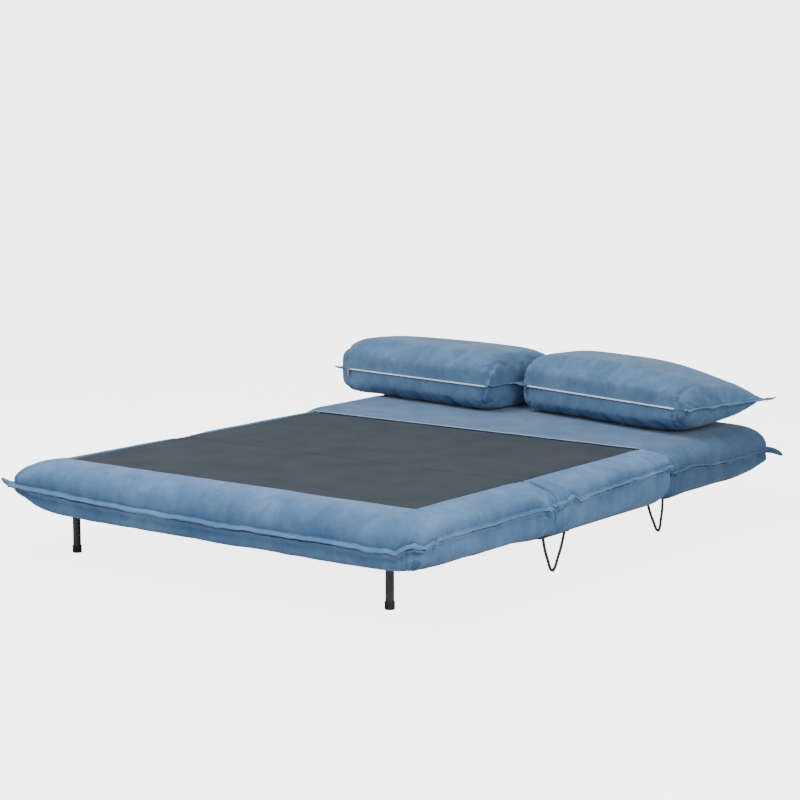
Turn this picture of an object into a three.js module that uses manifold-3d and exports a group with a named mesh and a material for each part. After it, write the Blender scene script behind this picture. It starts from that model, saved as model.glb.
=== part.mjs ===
// Folding futon sofa bed, laid out flat as a bed. Units are millimetres, +Z up, +Y from foot to head.
// Three padded sections lie in a row. The foot section folds over onto the middle one on double-pivot links.
// The head section tilts up on a pair of ratchets as the backrest, and two loose pillows lie on it.
import * as THREE from "three";
import { mergeVertices } from "three/addons/utils/BufferGeometryUtils.js";
import Module from "manifold-3d";

const wasm = await Module();
wasm.setup();

// Where the middle section's centre lies, so that the bed with its pillows is centred on the origin.
const BED_X = 28;
const BED_Y = -48;

// Padded sections
const HALF_WIDTH = 700;
const FOOT_END = -915;
const FOOT_FOLD = -305;
const HEAD_FOLD = 305;
const HEAD_END = 915;
const UNDERSIDE = 105;
const TOP = 254.5;
const SEAM = 173;
const FLANGE = 12;
const FABRIC = 3;
const CLEAR = 0.4;
const OUTER_CORNER = 48;
const FOLD_CORNER = 6;
const FOLD_GAP = 0.5;
const PANEL_INSET = 0.1;

// Larger than any section, for cutting away all above or below a height
const FAR_X = [-800, 800];
const FAR_Y = [-1000, 1000];
const FAR_BELOW = 90;
const FAR_ABOVE = 300;

// Openings through the underside of a cover, and where the foot section's foam is split around its frame
const UNDERSIDE_OPENING = [100, 112];
const FOAM_SPLIT = [149.6, 150];

// Dark sheet set into the top of the foot and middle sections
const PANEL_HALF_WIDTH = 598;
const PANEL_FRONT = -779;
const PANEL_BACK = 298;

// Double-pivot link hinge at the foot fold
const LINK_Z = 245;
const LINK_HALF_SPAN = 10;
const FOLD_RADIUS = 9.5;
const LINK_EYE_R = 5;
const HEAD_FOLD_RADIUS = 12;
const LINK_X = 556;
const LEAF_THICK = 5;
const LEAF_NECK = 40;
const LEAF_FLANGE = 34;
const LINK_PIN_R = 3;
const LINK_PIN_HEAD_R = 5;
const LINK_PIN_HEAD = 2;

// Ratchet at the head fold
const RATCHET_Y = 318;
const RATCHET_Z = 243;
const ARM_X = 575.4;
const ARM_THICK = 3.8;
const BASE_X = 580;
const BASE_THICK = 4;
const SECTOR_R = 26;
const NOTCH_R = 22.5;
const NOTCH_STEP = 26;
const NOTCH_COUNT = 4;
const FIRST_NOTCH = -103;
// One notch as (radius, angle off its middle), in the order that the outline runs
const TOOTH = [
  [SECTOR_R, -7],
  [NOTCH_R, -4.5],
  [NOTCH_R, 4.5],
  [SECTOR_R, 7],
];
const STRAP_BOTTOM = 119;
const STRAP_TOP = 143;
const BOLT_R = 4;
const BOLT_HEAD_R = 6.5;
const PAWL_Y = 287;
const PAWL_Z = 213;
const PAWL_R = 6;
const PAWL_PIN_R = 3;

// Angle-steel frames and their slats
const ANGLE = 25;
const STEEL = 3;
const SLAT_WIDTH = 90;
const SLAT_THICK = 12;
const FRAMES = {
  foot: { halfWidth: 575, front: -852, back: -332, bottom: 150 },
  middle: { halfWidth: 579.6, front: -278, back: 262, bottom: 117 },
  head: { halfWidth: 575, front: 345, back: 855, bottom: 117 },
};

// Folding post legs under the foot end
const POST_X = 540;
const POST_Y = -808;
const POST_PIVOT_Y = -804;
const POST_PIVOT_Z = 122;
const POST_R = 11;
const POST_WALL = 1.5;
const POST_CAP_R = 13;
const POST_CAP_HEIGHT = 20;
const POST_CAP_FLOOR = 12;
const POST_PIN_HALF = 17;

// Hairpin legs under the middle section
const ROD_R = 4;
const HAIRPINS = {
  front: { x: 645, tip: -232, tops: [-281, -176], plate: [-300, -158], studs: [-255, -190] },
  rear: { x: 612, tip: 382, tops: [316, 404], plate: [120, 416], studs: [150, 235] },
};
const PLATE_TOP = 104.4;
const PLATE_THICK = 4;
const STUD_X = 566;
const STUD_R = 8;

// Loose pillows
const PILLOW_HEIGHT = 200;
const PILLOW_SEAM = 84;
const PILLOW_CORNER = 45;
const PILLOW_SKIN = 2.5;
const PILLOW_LEVELS = [0, 12, 40, 78, 90, 130, 165, 188, PILLOW_HEIGHT];
const PILLOW_SIDE_HALF = 7;
const PILLOWS = {
  left: { x: -420, y: 800, yaw: -7.5, halfWidth: 335, halfDepth: 182, zip: [-300, 315] },
  right: { x: 326, y: 772, yaw: -13.5, halfWidth: 352, halfDepth: 182, zip: [-335, 300] },
};
const ZIP_HALF_HEIGHT = 3;

const LOOKS = {
  velvet: { color: 0x6c88a5, roughness: 0.9, metalness: 0 },
  lining: { color: 0x545b65, roughness: 0.95, metalness: 0 },
  foam: { color: 0xd9d2b8, roughness: 0.95, metalness: 0 },
  blackSteel: { color: 0x232427, roughness: 0.5, metalness: 0.6 },
  zinc: { color: 0x9ea3a8, roughness: 0.35, metalness: 0.9 },
  pine: { color: 0xc9a26a, roughness: 0.7, metalness: 0 },
  rubber: { color: 0x1c1c1e, roughness: 0.85, metalness: 0 },
  zipTape: { color: 0xdfe4ea, roughness: 0.5, metalness: 0 },
};

// ---- Geometry helpers ----

function toSolid(geometry) {
  const bare = geometry.clone();
  bare.deleteAttribute("normal");
  bare.deleteAttribute("uv");
  const merged = mergeVertices(bare, 1e-3);
  return new wasm.Manifold(
    new wasm.Mesh({
      numProp: 3,
      vertProperties: merged.attributes.position.array,
      triVerts: new Uint32Array(merged.index.array),
    }),
  );
}

function toGeometry(solid) {
  const mesh = solid.getMesh();
  const geometry = new THREE.BufferGeometry();
  geometry.setAttribute("position", new THREE.BufferAttribute(mesh.vertProperties, 3));
  geometry.setIndex(new THREE.BufferAttribute(mesh.triVerts, 1));
  return geometry;
}

function join(...geometries) {
  return toGeometry(geometries.map(toSolid).reduce((a, b) => a.add(b)));
}

function cut(body, ...tools) {
  return toGeometry(tools.map(toSolid).reduce((a, b) => a.subtract(b), toSolid(body)));
}

function box([x0, x1], [y0, y1], [z0, z1]) {
  const geometry = new THREE.BoxGeometry(x1 - x0, y1 - y0, z1 - z0);
  return geometry.translate((x0 + x1) / 2, (y0 + y1) / 2, (z0 + z1) / 2);
}

function grow([low, high], gap) {
  return [low - gap, high + gap];
}

// A cylinder along X through (y, z), from x0 to x1.
function barX(radius, [x0, x1], y, z, sides = 16) {
  const geometry = new THREE.CylinderGeometry(radius, radius, x1 - x0, sides);
  return geometry.rotateZ(Math.PI / 2).translate((x0 + x1) / 2, y, z);
}

function barZ(radius, x, y, [z0, z1], sides = 16) {
  const geometry = new THREE.CylinderGeometry(radius, radius, z1 - z0, sides);
  return geometry.rotateX(Math.PI / 2).translate(x, y, (z0 + z1) / 2);
}

// A flat plate in the YZ plane, from x0 to x1 thick, with round holes [y, z, radius].
function plate(outline, [x0, x1], holes = []) {
  const shape = new THREE.Shape(outline.map(([y, z]) => new THREE.Vector2(y, z)));
  for (const [y, z, radius] of holes) {
    shape.holes.push(new THREE.Path().absarc(y, z, radius, 0, 2 * Math.PI, true));
  }
  const options = { depth: x1 - x0, bevelEnabled: false, curveSegments: 8 };
  const geometry = new THREE.ExtrudeGeometry(shape, options);
  const yzPlane = new THREE.Matrix4().makeBasis(
    new THREE.Vector3(0, 1, 0),
    new THREE.Vector3(0, 0, 1),
    new THREE.Vector3(1, 0, 0),
  );
  return geometry.applyMatrix4(yzPlane).translate(x0, 0, 0);
}

// The point at an angle in degrees, from +Y towards +Z, on a circle about (y, z).
function polar(y, z, radius, degrees) {
  const angle = THREE.MathUtils.degToRad(degrees);
  return [y + radius * Math.cos(angle), z + radius * Math.sin(angle)];
}

function arc(y, z, radius, from, to, steps) {
  return Array.from({ length: steps + 1 }, (_, i) =>
    polar(y, z, radius, from + ((to - from) * i) / steps),
  );
}

// A closed skin through rings that all hold the same number of points, with flat ends.
function loft(rings) {
  const count = rings[0].length;
  const index = [];
  for (let level = 0; level + 1 < rings.length; level++) {
    for (let i = 0; i < count; i++) {
      const a = level * count + i;
      const b = level * count + ((i + 1) % count);
      index.push(a, b, b + count, a, b + count, a + count);
    }
  }
  const last = (rings.length - 1) * count;
  for (let i = 1; i + 1 < count; i++) {
    index.push(0, i + 1, i);
    index.push(last, last + i, last + i + 1);
  }
  const geometry = new THREE.BufferGeometry();
  geometry.setAttribute("position", new THREE.Float32BufferAttribute(rings.flat(2), 3));
  geometry.setIndex(index);
  return geometry;
}

// A rounded rectangle at height z, counter-clockwise from the front left; frontR and backR are corner radii.
function ring([x0, x1], [y0, y1], frontR, backR, z, steps = 3) {
  const corners = [
    [x0 + frontR, y0 + frontR, frontR, 180],
    [x1 - frontR, y0 + frontR, frontR, 270],
    [x1 - backR, y1 - backR, backR, 0],
    [x0 + backR, y1 - backR, backR, 90],
  ];
  return corners.flatMap(([x, y, r, start]) =>
    arc(x, y, r, start, start + 90, steps).map(([px, py]) => [px, py, z]),
  );
}

// ---- Padded sections ----

// How far the free sides of a section sit inside the seam line at height z, in a roll above and one below.
function rollInset(z) {
  if (z < SEAM) {
    const t = (SEAM - z) / (SEAM - UNDERSIDE);
    return 50 * t ** 3.2;
  }
  const t = (z - SEAM) / (TOP - SEAM);
  return 105 * t ** 3.4 + 6 * t;
}

// How far a fold side sits back at height z, rounded over the fold at the top and softly at the bottom.
function foldInset(z, radius) {
  const up = z - (TOP - radius);
  const down = UNDERSIDE + 12 - z;
  if (up > 0) return radius - Math.sqrt(Math.max(radius ** 2 - up ** 2, 0));
  return down > 0 ? (down * down) / 12 : 0;
}

const SECTIONS = {
  foot: { y: [FOOT_END, FOOT_FOLD - FOLD_GAP], folds: [0, FOLD_RADIUS] },
  middle: { y: [FOOT_FOLD + FOLD_GAP, HEAD_FOLD - FOLD_GAP], folds: [FOLD_RADIUS, FOLD_RADIUS] },
  head: { y: [HEAD_FOLD + 2 * FOLD_GAP, HEAD_END], folds: [HEAD_FOLD_RADIUS, 0] },
};

// Heights of the rings that a section's skin runs through; the flange stands out between two close ones.
const LIP_FROM = 172.5;
const LIP_TO = 175.5;
const OUTER_LEVELS = [UNDERSIDE, 111, 128, 172, LIP_FROM, LIP_TO, 176, 212, 235, 247, 252, TOP];
const INNER_LEVELS = [UNDERSIDE, 120, SEAM, 212, 238, 250, TOP];

// One section's solid, set in from its outer surface by skin on every side, between bottom and top.
function padSolid({ y, folds }, levels, skin, withFlange) {
  const [frontFold, backFold] = folds;
  const middle = (UNDERSIDE + TOP) / 2;
  const shrink = (TOP - UNDERSIDE - 2 * skin) / (TOP - UNDERSIDE);
  const rings = levels.map((z) => {
    const lip = withFlange && z >= LIP_FROM && z <= LIP_TO ? -FLANGE : 0;
    const side = rollInset(z) + skin + lip;
    const front = frontFold ? foldInset(z, frontFold) + skin : side;
    const back = backFold ? foldInset(z, backFold) + skin : side;
    return ring(
      [-HALF_WIDTH + side, HALF_WIDTH - side],
      [y[0] + front, y[1] - back],
      frontFold ? FOLD_CORNER : OUTER_CORNER,
      backFold ? FOLD_CORNER : OUTER_CORNER,
      middle + (z - middle) * shrink,
    );
  });
  return loft(rings);
}

// Where the dark sheet's window begins and ends along Y; it runs a little past the fold.
function windowOf(name) {
  if (name === "head") return null;
  return name === "foot" ? [PANEL_FRONT, FOOT_FOLD + 4] : [FOOT_FOLD - 4, PANEL_BACK];
}

// The sewn cover: a thin fabric shell with the window for the dark sheet and openings for the hardware.
function cover(name, openings) {
  const shell = cut(
    padSolid(SECTIONS[name], OUTER_LEVELS, 0, true),
    padSolid(SECTIONS[name], INNER_LEVELS, FABRIC, false),
  );
  const opening = windowOf(name);
  const panel = opening
    ? [box([-PANEL_HALF_WIDTH, PANEL_HALF_WIDTH], opening, [TOP - FABRIC - 0.2, TOP + 5])]
    : [];
  return cut(shell, ...panel, ...openings);
}

// One section's foam between two heights.
function foam(name, [low, high], pockets) {
  const above = box(FAR_X, FAR_Y, [high, FAR_ABOVE + 1]);
  const below = box(FAR_X, FAR_Y, [FAR_BELOW - 1, low]);
  return cut(padSolid(SECTIONS[name], INNER_LEVELS, FABRIC + CLEAR, false), above, below, ...pockets);
}

// The dark sheet of one section, which ends where the fold's rounding starts and leaves room for the links.
function panelSheet(name, frameEnd) {
  const [front, back] = windowOf(name);
  const y = name === "foot"
    ? [front + CLEAR, FOOT_FOLD - FOLD_RADIUS - FOLD_GAP]
    : [FOOT_FOLD + FOLD_RADIUS + FOLD_GAP, back - CLEAR];
  const z = [TOP - FABRIC + CLEAR, TOP - PANEL_INSET];
  const sheet = box(grow([-PANEL_HALF_WIDTH, PANEL_HALF_WIDTH], -CLEAR), y, z);
  return cut(sheet, ...both((side) => linkPocket(side, frameEnd)));
}

// A rectangle of angle steel: an upright web outside and a flat flange turned in at the bottom.
function angleFrame({ halfWidth, front, back, bottom }) {
  const around = (inset) => [
    [-halfWidth + inset, halfWidth - inset],
    [front + inset, back - inset],
  ];
  const web = cut(
    box(...around(0), [bottom, bottom + ANGLE]),
    box(...around(STEEL), [bottom - 1, bottom + ANGLE + 1]),
  );
  const flange = cut(
    box(...around(STEEL / 2), [bottom, bottom + STEEL]),
    box(...around(ANGLE), [bottom - 1, bottom + STEEL + 1]),
  );
  return join(web, flange);
}

function framePocket({ halfWidth, front, back, bottom }, below) {
  return box(grow([-halfWidth, halfWidth], 1), grow([front, back], 1), [below, bottom + ANGLE + 1]);
}

// Slats lie on the frame's flange, spaced evenly between its ends.
function slat({ halfWidth, front, back, bottom }, place) {
  const y = THREE.MathUtils.lerp(front, back, place);
  const z = bottom + STEEL + CLEAR;
  const x = halfWidth - STEEL - 1;
  return box([-x, x], [y - SLAT_WIDTH / 2, y + SLAT_WIDTH / 2], [z, z + SLAT_THICK]);
}

// ---- Foot fold: leaves, links and pins; side is -1 on the left and 1 on the right ----

function across([x0, x1], side) {
  return side > 0 ? [x0, x1] : [-x1, -x0];
}

// A strap that stands at the end of a frame and carries one of the two link pivots in its eye.
function hingeLeaf(frameEnd, towardsFold, bottom, side) {
  const pivotY = FOOT_FOLD - towardsFold * LINK_HALF_SPAN;
  const near = frameEnd + towardsFold * CLEAR;
  const far = pivotY + towardsFold * LINK_EYE_R;
  const eye = arc(pivotY, LINK_Z, LINK_EYE_R, 0, 180, 10);
  const foot = [
    [Math.min(near, far), bottom],
    [Math.max(near, far), bottom],
  ];
  const neck = [near, LINK_Z - LEAF_NECK];
  const outline = towardsFold > 0 ? [...foot, ...eye, neck] : [...foot, neck, ...eye];
  const x = across([LINK_X, LINK_X + LEAF_THICK], side);
  const strap = plate(outline, x, [[pivotY, LINK_Z, LINK_PIN_R + CLEAR]]);
  const flangeX = across([LINK_X - LEAF_FLANGE, LINK_X + 1], side);
  const flangeY = [near, near + towardsFold * STEEL].sort((a, b) => a - b);
  return join(strap, box(flangeX, flangeY, [bottom, bottom + ANGLE]));
}

function linkPlate(side) {
  const right = arc(FOOT_FOLD + LINK_HALF_SPAN, LINK_Z, LINK_EYE_R, -90, 90, 10);
  const left = arc(FOOT_FOLD - LINK_HALF_SPAN, LINK_Z, LINK_EYE_R, 90, 270, 10);
  const x = across([LINK_X + LEAF_THICK + CLEAR, LINK_X + 2 * LEAF_THICK + CLEAR], side);
  const holes = [-1, 1].map((end) => [
    FOOT_FOLD + end * LINK_HALF_SPAN,
    LINK_Z,
    LINK_PIN_R + CLEAR,
  ]);
  return plate([...right, ...left], x, holes);
}

// A pin through a leaf's eye and the link, with its head outside the link.
function linkPin(side, end) {
  const y = FOOT_FOLD + end * LINK_HALF_SPAN;
  const outer = LINK_X + 2 * LEAF_THICK + 2 * CLEAR;
  const shank = barX(LINK_PIN_R, across([LINK_X - 1.5, outer], side), y, LINK_Z);
  const head = barX(LINK_PIN_HEAD_R, across([outer, outer + LINK_PIN_HEAD], side), y, LINK_Z);
  return join(shank, head);
}

// The slot for a leaf, its link and pins, open at the top of the fold.
function linkPocket(side, frameEnd) {
  const y = [frameEnd, FOOT_FOLD].sort((a, b) => a - b);
  const outside = LINK_X + 2 * LEAF_THICK + LINK_PIN_HEAD + 3;
  return box(across([LINK_X - 2.5, outside], side), grow(y, 2), [UNDERSIDE + 5, TOP + 5]);
}

function leafFootPocket(side, frameEnd, bottom) {
  const y = grow([frameEnd, frameEnd], 5);
  return box(across([LINK_X - LEAF_FLANGE - 2, LINK_X], side), y, grow([bottom, bottom + ANGLE], 2));
}

// ---- Head fold: ratchet bases, arms, pawls and bolts ----

// A strap on the middle frame, with the backrest's pivot in its eye and the pawl's pin on its side.
function ratchetBase(side) {
  const eye = arc(RATCHET_Y, RATCHET_Z, 7.5, 0, 180, 10);
  const outline = [
    [190, STRAP_BOTTOM],
    [292, STRAP_BOTTOM],
    [302, STRAP_BOTTOM + 10],
    [302, 184],
    [326, 190],
    ...eye,
    [310, 226],
    [277, 226],
    [277, 200],
    [264, STRAP_TOP],
    [190, STRAP_TOP],
  ];
  const x = across([BASE_X, BASE_X + BASE_THICK], side);
  const body = plate(outline, x, [[RATCHET_Y, RATCHET_Z, BOLT_R + CLEAR]]);
  return join(body, barX(PAWL_PIN_R, across([ARM_X - 1, BASE_X + 1], side), PAWL_Y, PAWL_Z));
}

// The backrest's side arm, with a toothed sector about the pivot and a strap down to the head frame.
function ratchetArm(side) {
  const teeth = [];
  for (let i = NOTCH_COUNT - 1; i >= 0; i--) {
    const at = FIRST_NOTCH - i * NOTCH_STEP;
    for (const [radius, offset] of TOOTH) {
      teeth.push(polar(RATCHET_Y, RATCHET_Z, radius, at + offset));
    }
  }
  const outline = [
    [338, STRAP_BOTTOM],
    [400, STRAP_BOTTOM],
    [400, STRAP_TOP],
    [354, 150],
    [334, 240],
    [324, 250.4],
    [311, 250.4],
    [292.4, 247.5],
    ...teeth,
    [318, 217],
    [328, 208],
  ];
  return plate(outline, across([ARM_X, ARM_X + ARM_THICK], side), [
    [RATCHET_Y, RATCHET_Z, BOLT_R + CLEAR],
  ]);
}

function pivotBolt(side) {
  const bar = (radius, from, to) => barX(radius, across([from, to], side), RATCHET_Y, RATCHET_Z);
  const outside = BASE_X + BASE_THICK + CLEAR;
  return join(
    bar(BOLT_R, ARM_X - 1, outside + 1),
    bar(BOLT_HEAD_R, ARM_X - 3, ARM_X - CLEAR),
    bar(BOLT_HEAD_R, outside, outside + 3),
  );
}

// The pawl's tip stands just clear of the sector and turns up into the notch above it.
function pawl(side) {
  const outline = [
    ...arc(PAWL_Y, PAWL_Z, PAWL_R, 60, 300, 10),
    [309, 207],
    [316.5, 211.5],
    [314.5, 215.4],
    [311.5, 215.6],
    [303, 212.5],
  ];
  return plate(outline, across([ARM_X, ARM_X + ARM_THICK], side), [
    [PAWL_Y, PAWL_Z, PAWL_PIN_R + CLEAR],
  ]);
}

// Pockets in the foam and slots in the cover for the ratchet's parts, on each side of the head fold.
function ratchetRoom(side, y, [bottom, top] = [UNDERSIDE + 7, TOP - FABRIC]) {
  return box(across([ARM_X - 4, BASE_X + BASE_THICK + 5], side), y, [bottom, top]);
}

function basePocket(side) {
  return ratchetRoom(side, [188, HEAD_FOLD + 1]);
}

function baseSlot(side) {
  return ratchetRoom(side, [HEAD_FOLD - 15, HEAD_FOLD + 1]);
}

function armPocket(side) {
  const aroundSector = ratchetRoom(side, [HEAD_FOLD - 4, 356]);
  return join(aroundSector, ratchetRoom(side, [330, 403], [UNDERSIDE + 7, 152]));
}

function armSlot(side) {
  return ratchetRoom(side, [HEAD_FOLD - 2, HEAD_FOLD + 24]);
}

// ---- Legs ----

function postLeg(side) {
  const x = side * POST_X;
  const span = [POST_CAP_FLOOR + 0.6, POST_PIVOT_Z + POST_R];
  const tube = cut(
    barZ(POST_R, x, POST_Y, span, 20),
    barZ(POST_R - POST_WALL, x, POST_Y, grow(span, 1), 20),
  );
  return cut(tube, barX(BOLT_R + CLEAR, [x - 20, x + 20], POST_PIVOT_Y, POST_PIVOT_Z));
}

function postCap(side) {
  const inner = POST_R + 0.3;
  const profile = [
    [0, 0],
    [POST_CAP_R - 1, 0],
    [POST_CAP_R, 1.5],
    [POST_CAP_R, POST_CAP_HEIGHT],
    [inner, POST_CAP_HEIGHT],
    [inner, POST_CAP_FLOOR],
    [0, POST_CAP_FLOOR],
  ].map(([r, z]) => new THREE.Vector2(r, z));
  return new THREE.LatheGeometry(profile, 20).rotateX(Math.PI / 2).translate(side * POST_X, POST_Y, 0);
}

function legBracket(side) {
  const x = side * POST_X;
  const ears = [-1, 1].map((ear) => {
    const faces = [x + ear * 12.5, x + ear * 15.5].sort((a, b) => a - b);
    const outline = [[-824, 146], ...arc(POST_PIVOT_Y, POST_PIVOT_Z, 9, 200, 340, 8), [-788, 146]];
    return plate(outline, faces, [[POST_PIVOT_Y, POST_PIVOT_Z, BOLT_R + CLEAR]]);
  });
  const base = box(across([516, 573], side), [-849, -786], [145.5, 149.5]);
  return join(base, ...ears);
}

function legPin(side) {
  const x = side * POST_X;
  const shank = barX(BOLT_R, grow([x, x], POST_PIN_HALF), POST_PIVOT_Y, POST_PIVOT_Z);
  const heads = [-1, 1].map((end) => {
    const faces = [x + end * 15.9, x + end * 18.4].sort((a, b) => a - b);
    return barX(BOLT_HEAD_R, faces, POST_PIVOT_Y, POST_PIVOT_Z);
  });
  return join(shank, ...heads);
}

// The slot that a post leg folds up into, and the recess for its bracket.
function postSlot(side, z) {
  const x = side * POST_X;
  return box(grow([x, x], 20), [-828, -680], z);
}

function bracketRecess(side) {
  return box(across([514, 576], side), [-852, -783], [144, 151]);
}

// A bent rod welded under a plate, whose studs reach up through the cover to the frame.
function hairpin({ x, tip, tops, plate: plateY, studs }, side) {
  const plateBottom = PLATE_TOP - PLATE_THICK;
  // The legs of the rod bow outwards by bow at the middle of their height, and meet in a round bend.
  const bow = 7;
  const stations = [
    [1, 0],
    [0.62, bow],
    [0.3, bow],
    [0.09, bow],
  ];
  const leg = (top) =>
    stations.map(([height, out]) => [
      tip + (top - tip) * height + Math.sign(top - tip) * out,
      ROD_R + (plateBottom + 1 - ROD_R) * height,
    ]);
  const points = [...leg(tops[0]), [tip, ROD_R], ...leg(tops[1]).reverse()].map(
    ([y, z]) => new THREE.Vector3(side * x, y, z),
  );
  const section = new THREE.Shape().absarc(0, 0, ROD_R, 0, 2 * Math.PI, false);
  const path = new THREE.CatmullRomCurve3(points, false, "centripetal");
  const rod = new THREE.ExtrudeGeometry(section, { steps: 24, curveSegments: 4, extrudePath: path });
  const foot = box(across([STUD_X - 11, x + ROD_R], side), plateY, [plateBottom, PLATE_TOP]);
  const studTop = FRAMES.middle.bottom - CLEAR;
  const posts = studs.map((y) => barZ(STUD_R, side * STUD_X, y, [PLATE_TOP - 1, studTop]));
  return join(rod, foot, ...posts);
}

function studHoles() {
  return Object.values(HAIRPINS).flatMap(({ studs }) =>
    studs.flatMap((y) => both((side) => barZ(STUD_R + 1, side * STUD_X, y, UNDERSIDE_OPENING))),
  );
}

// ---- Pillows, each in its own frame: origin under its centre, X along the zip ----

function pillowInset(z) {
  if (z < PILLOW_SEAM) return 95 * ((PILLOW_SEAM - z) / PILLOW_SEAM) ** 3;
  const t = (z - PILLOW_SEAM) / (PILLOW_HEIGHT - PILLOW_SEAM);
  return 130 * t ** 3.2 + 6 * t;
}

function pillowSolid({ halfWidth, halfDepth }, skin) {
  const middle = PILLOW_HEIGHT / 2;
  const shrink = (PILLOW_HEIGHT - 2 * skin) / PILLOW_HEIGHT;
  const rings = PILLOW_LEVELS.map((z) => {
    const upright = Math.abs(z - PILLOW_SEAM) < PILLOW_SIDE_HALF;
    const inset = pillowInset(upright ? PILLOW_SEAM : z) + skin;
    const radius = Math.min(PILLOW_CORNER + 0.25 * inset, halfDepth - inset - 2);
    return ring(
      [-halfWidth + inset, halfWidth - inset],
      [-halfDepth + inset, halfDepth - inset],
      radius,
      radius,
      middle + (z - middle) * shrink,
      4,
    );
  });
  return loft(rings);
}

function zipBox({ halfDepth, zip }, gap, [front, back]) {
  return box(
    grow(zip, gap),
    [-halfDepth + front, -halfDepth + back],
    grow([PILLOW_SEAM - ZIP_HALF_HEIGHT, PILLOW_SEAM + ZIP_HALF_HEIGHT], gap),
  );
}

function pillowCover(pillow) {
  const opening = zipBox(pillow, CLEAR, [-PILLOW_SKIN, 2 * PILLOW_SKIN]);
  return cut(pillowSolid(pillow, 0), pillowSolid(pillow, PILLOW_SKIN), opening);
}

function pillowFill(pillow) {
  return pillowSolid(pillow, PILLOW_SKIN + CLEAR);
}

function zipStrip(pillow) {
  return zipBox(pillow, 0, [0.4, PILLOW_SKIN]);
}

// The slider's body rides in front of the zip at its closed end, with a pull tab hanging below it.
function zipSlider({ halfDepth, zip }) {
  const y = -halfDepth;
  const body = box([zip[0] + 2, zip[0] + 14], [y - 4, y - 0.6], [PILLOW_SEAM - 4, PILLOW_SEAM + 4]);
  const tab = box([zip[0] + 5, zip[0] + 11], [y - 5.5, y - 3], [PILLOW_SEAM - 22, PILLOW_SEAM + 1]);
  return join(body, tab);
}

// ---- Assembly ----

function place(group, name, geometry, look) {
  const mesh = new THREE.Mesh(geometry, new THREE.MeshStandardMaterial(look));
  mesh.name = name;
  group.add(mesh);
}

const SIDES = [
  ["left", -1],
  ["right", 1],
];
const both = (make) => SIDES.map(([, side]) => make(side));

function addFrame(group, name) {
  place(group, name + "_frame", angleFrame(FRAMES[name]), LOOKS.blackSteel);
  [0.2, 0.5, 0.8].forEach((at, i) => {
    place(group, name + "_slat_" + (i + 1), slat(FRAMES[name], at), LOOKS.pine);
  });
}

function footSection() {
  const group = new THREE.Group();
  const { foot } = FRAMES;
  const openings = [
    ...both((side) => postSlot(side, UNDERSIDE_OPENING)),
    ...both((side) => linkPocket(side, foot.back)),
  ];
  place(group, "foot_cover", cover("foot", openings), LOOKS.velvet);
  place(group, "foot_panel", panelSheet("foot", foot.back), LOOKS.lining);
  const upperPockets = [
    framePocket(foot, FAR_BELOW),
    ...both((side) => linkPocket(side, foot.back)),
    ...both((side) => leafFootPocket(side, foot.back, foot.bottom)),
  ];
  place(group, "foot_upper_foam", foam("foot", [FOAM_SPLIT[1], FAR_ABOVE], upperPockets), LOOKS.foam);
  const lowerPockets = [
    ...both((side) => postSlot(side, [FAR_BELOW, FOAM_SPLIT[1] + 1])),
    ...both(bracketRecess),
    ...both((side) => linkPocket(side, foot.back)),
    ...both((side) => leafFootPocket(side, foot.back, foot.bottom)),
  ];
  place(group, "foot_lower_foam", foam("foot", [FAR_BELOW, FOAM_SPLIT[0]], lowerPockets), LOOKS.foam);
  addFrame(group, "foot");
  for (const [name, side] of SIDES) {
    place(group, "foot_hinge_leaf_" + name, hingeLeaf(foot.back, 1, foot.bottom, side), LOOKS.zinc);
    place(group, "leg_bracket_" + name, legBracket(side), LOOKS.blackSteel);
    place(group, "leg_pin_" + name, legPin(side), LOOKS.zinc);
    place(group, "post_leg_" + name, postLeg(side), LOOKS.blackSteel);
    place(group, "foot_cap_" + name, postCap(side), LOOKS.rubber);
  }
  return group;
}

function middleSection() {
  const group = new THREE.Group();
  const { middle } = FRAMES;
  const openings = [
    ...studHoles(),
    ...both((side) => linkPocket(side, middle.front)),
    ...both(baseSlot),
  ];
  place(group, "middle_cover", cover("middle", openings), LOOKS.velvet);
  place(group, "middle_panel", panelSheet("middle", middle.front), LOOKS.lining);
  const pockets = [
    framePocket(middle, FAR_BELOW),
    ...both((side) => linkPocket(side, middle.front)),
    ...both((side) => leafFootPocket(side, middle.front, middle.bottom)),
    ...both(basePocket),
  ];
  place(group, "middle_foam", foam("middle", [FAR_BELOW, FAR_ABOVE], pockets), LOOKS.foam);
  addFrame(group, "middle");
  for (const [name, side] of SIDES) {
    place(group, "middle_hinge_leaf_" + name, hingeLeaf(middle.front, -1, middle.bottom, side), LOOKS.zinc);
    place(group, "ratchet_base_" + name, ratchetBase(side), LOOKS.zinc);
    place(group, "front_hairpin_leg_" + name, hairpin(HAIRPINS.front, side), LOOKS.blackSteel);
    place(group, "rear_hairpin_leg_" + name, hairpin(HAIRPINS.rear, side), LOOKS.blackSteel);
    place(group, "ratchet_pawl_" + name, pawl(side), LOOKS.zinc);
  }
  return group;
}

function foldLinks() {
  const group = new THREE.Group();
  for (const [name, side] of SIDES) {
    place(group, "fold_link_" + name, linkPlate(side), LOOKS.zinc);
    place(group, "foot_link_pin_" + name, linkPin(side, -1), LOOKS.zinc);
    place(group, "middle_link_pin_" + name, linkPin(side, 1), LOOKS.zinc);
  }
  return group;
}

function headSection() {
  const group = new THREE.Group();
  const { head } = FRAMES;
  place(group, "head_cover", cover("head", both(armSlot)), LOOKS.velvet);
  const pockets = [framePocket(head, FAR_BELOW), ...both(armPocket)];
  place(group, "head_foam", foam("head", [FAR_BELOW, FAR_ABOVE], pockets), LOOKS.foam);
  addFrame(group, "head");
  for (const [name, side] of SIDES) {
    place(group, "ratchet_arm_" + name, ratchetArm(side), LOOKS.zinc);
    place(group, "pivot_bolt_" + name, pivotBolt(side), LOOKS.zinc);
  }
  return group;
}

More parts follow.
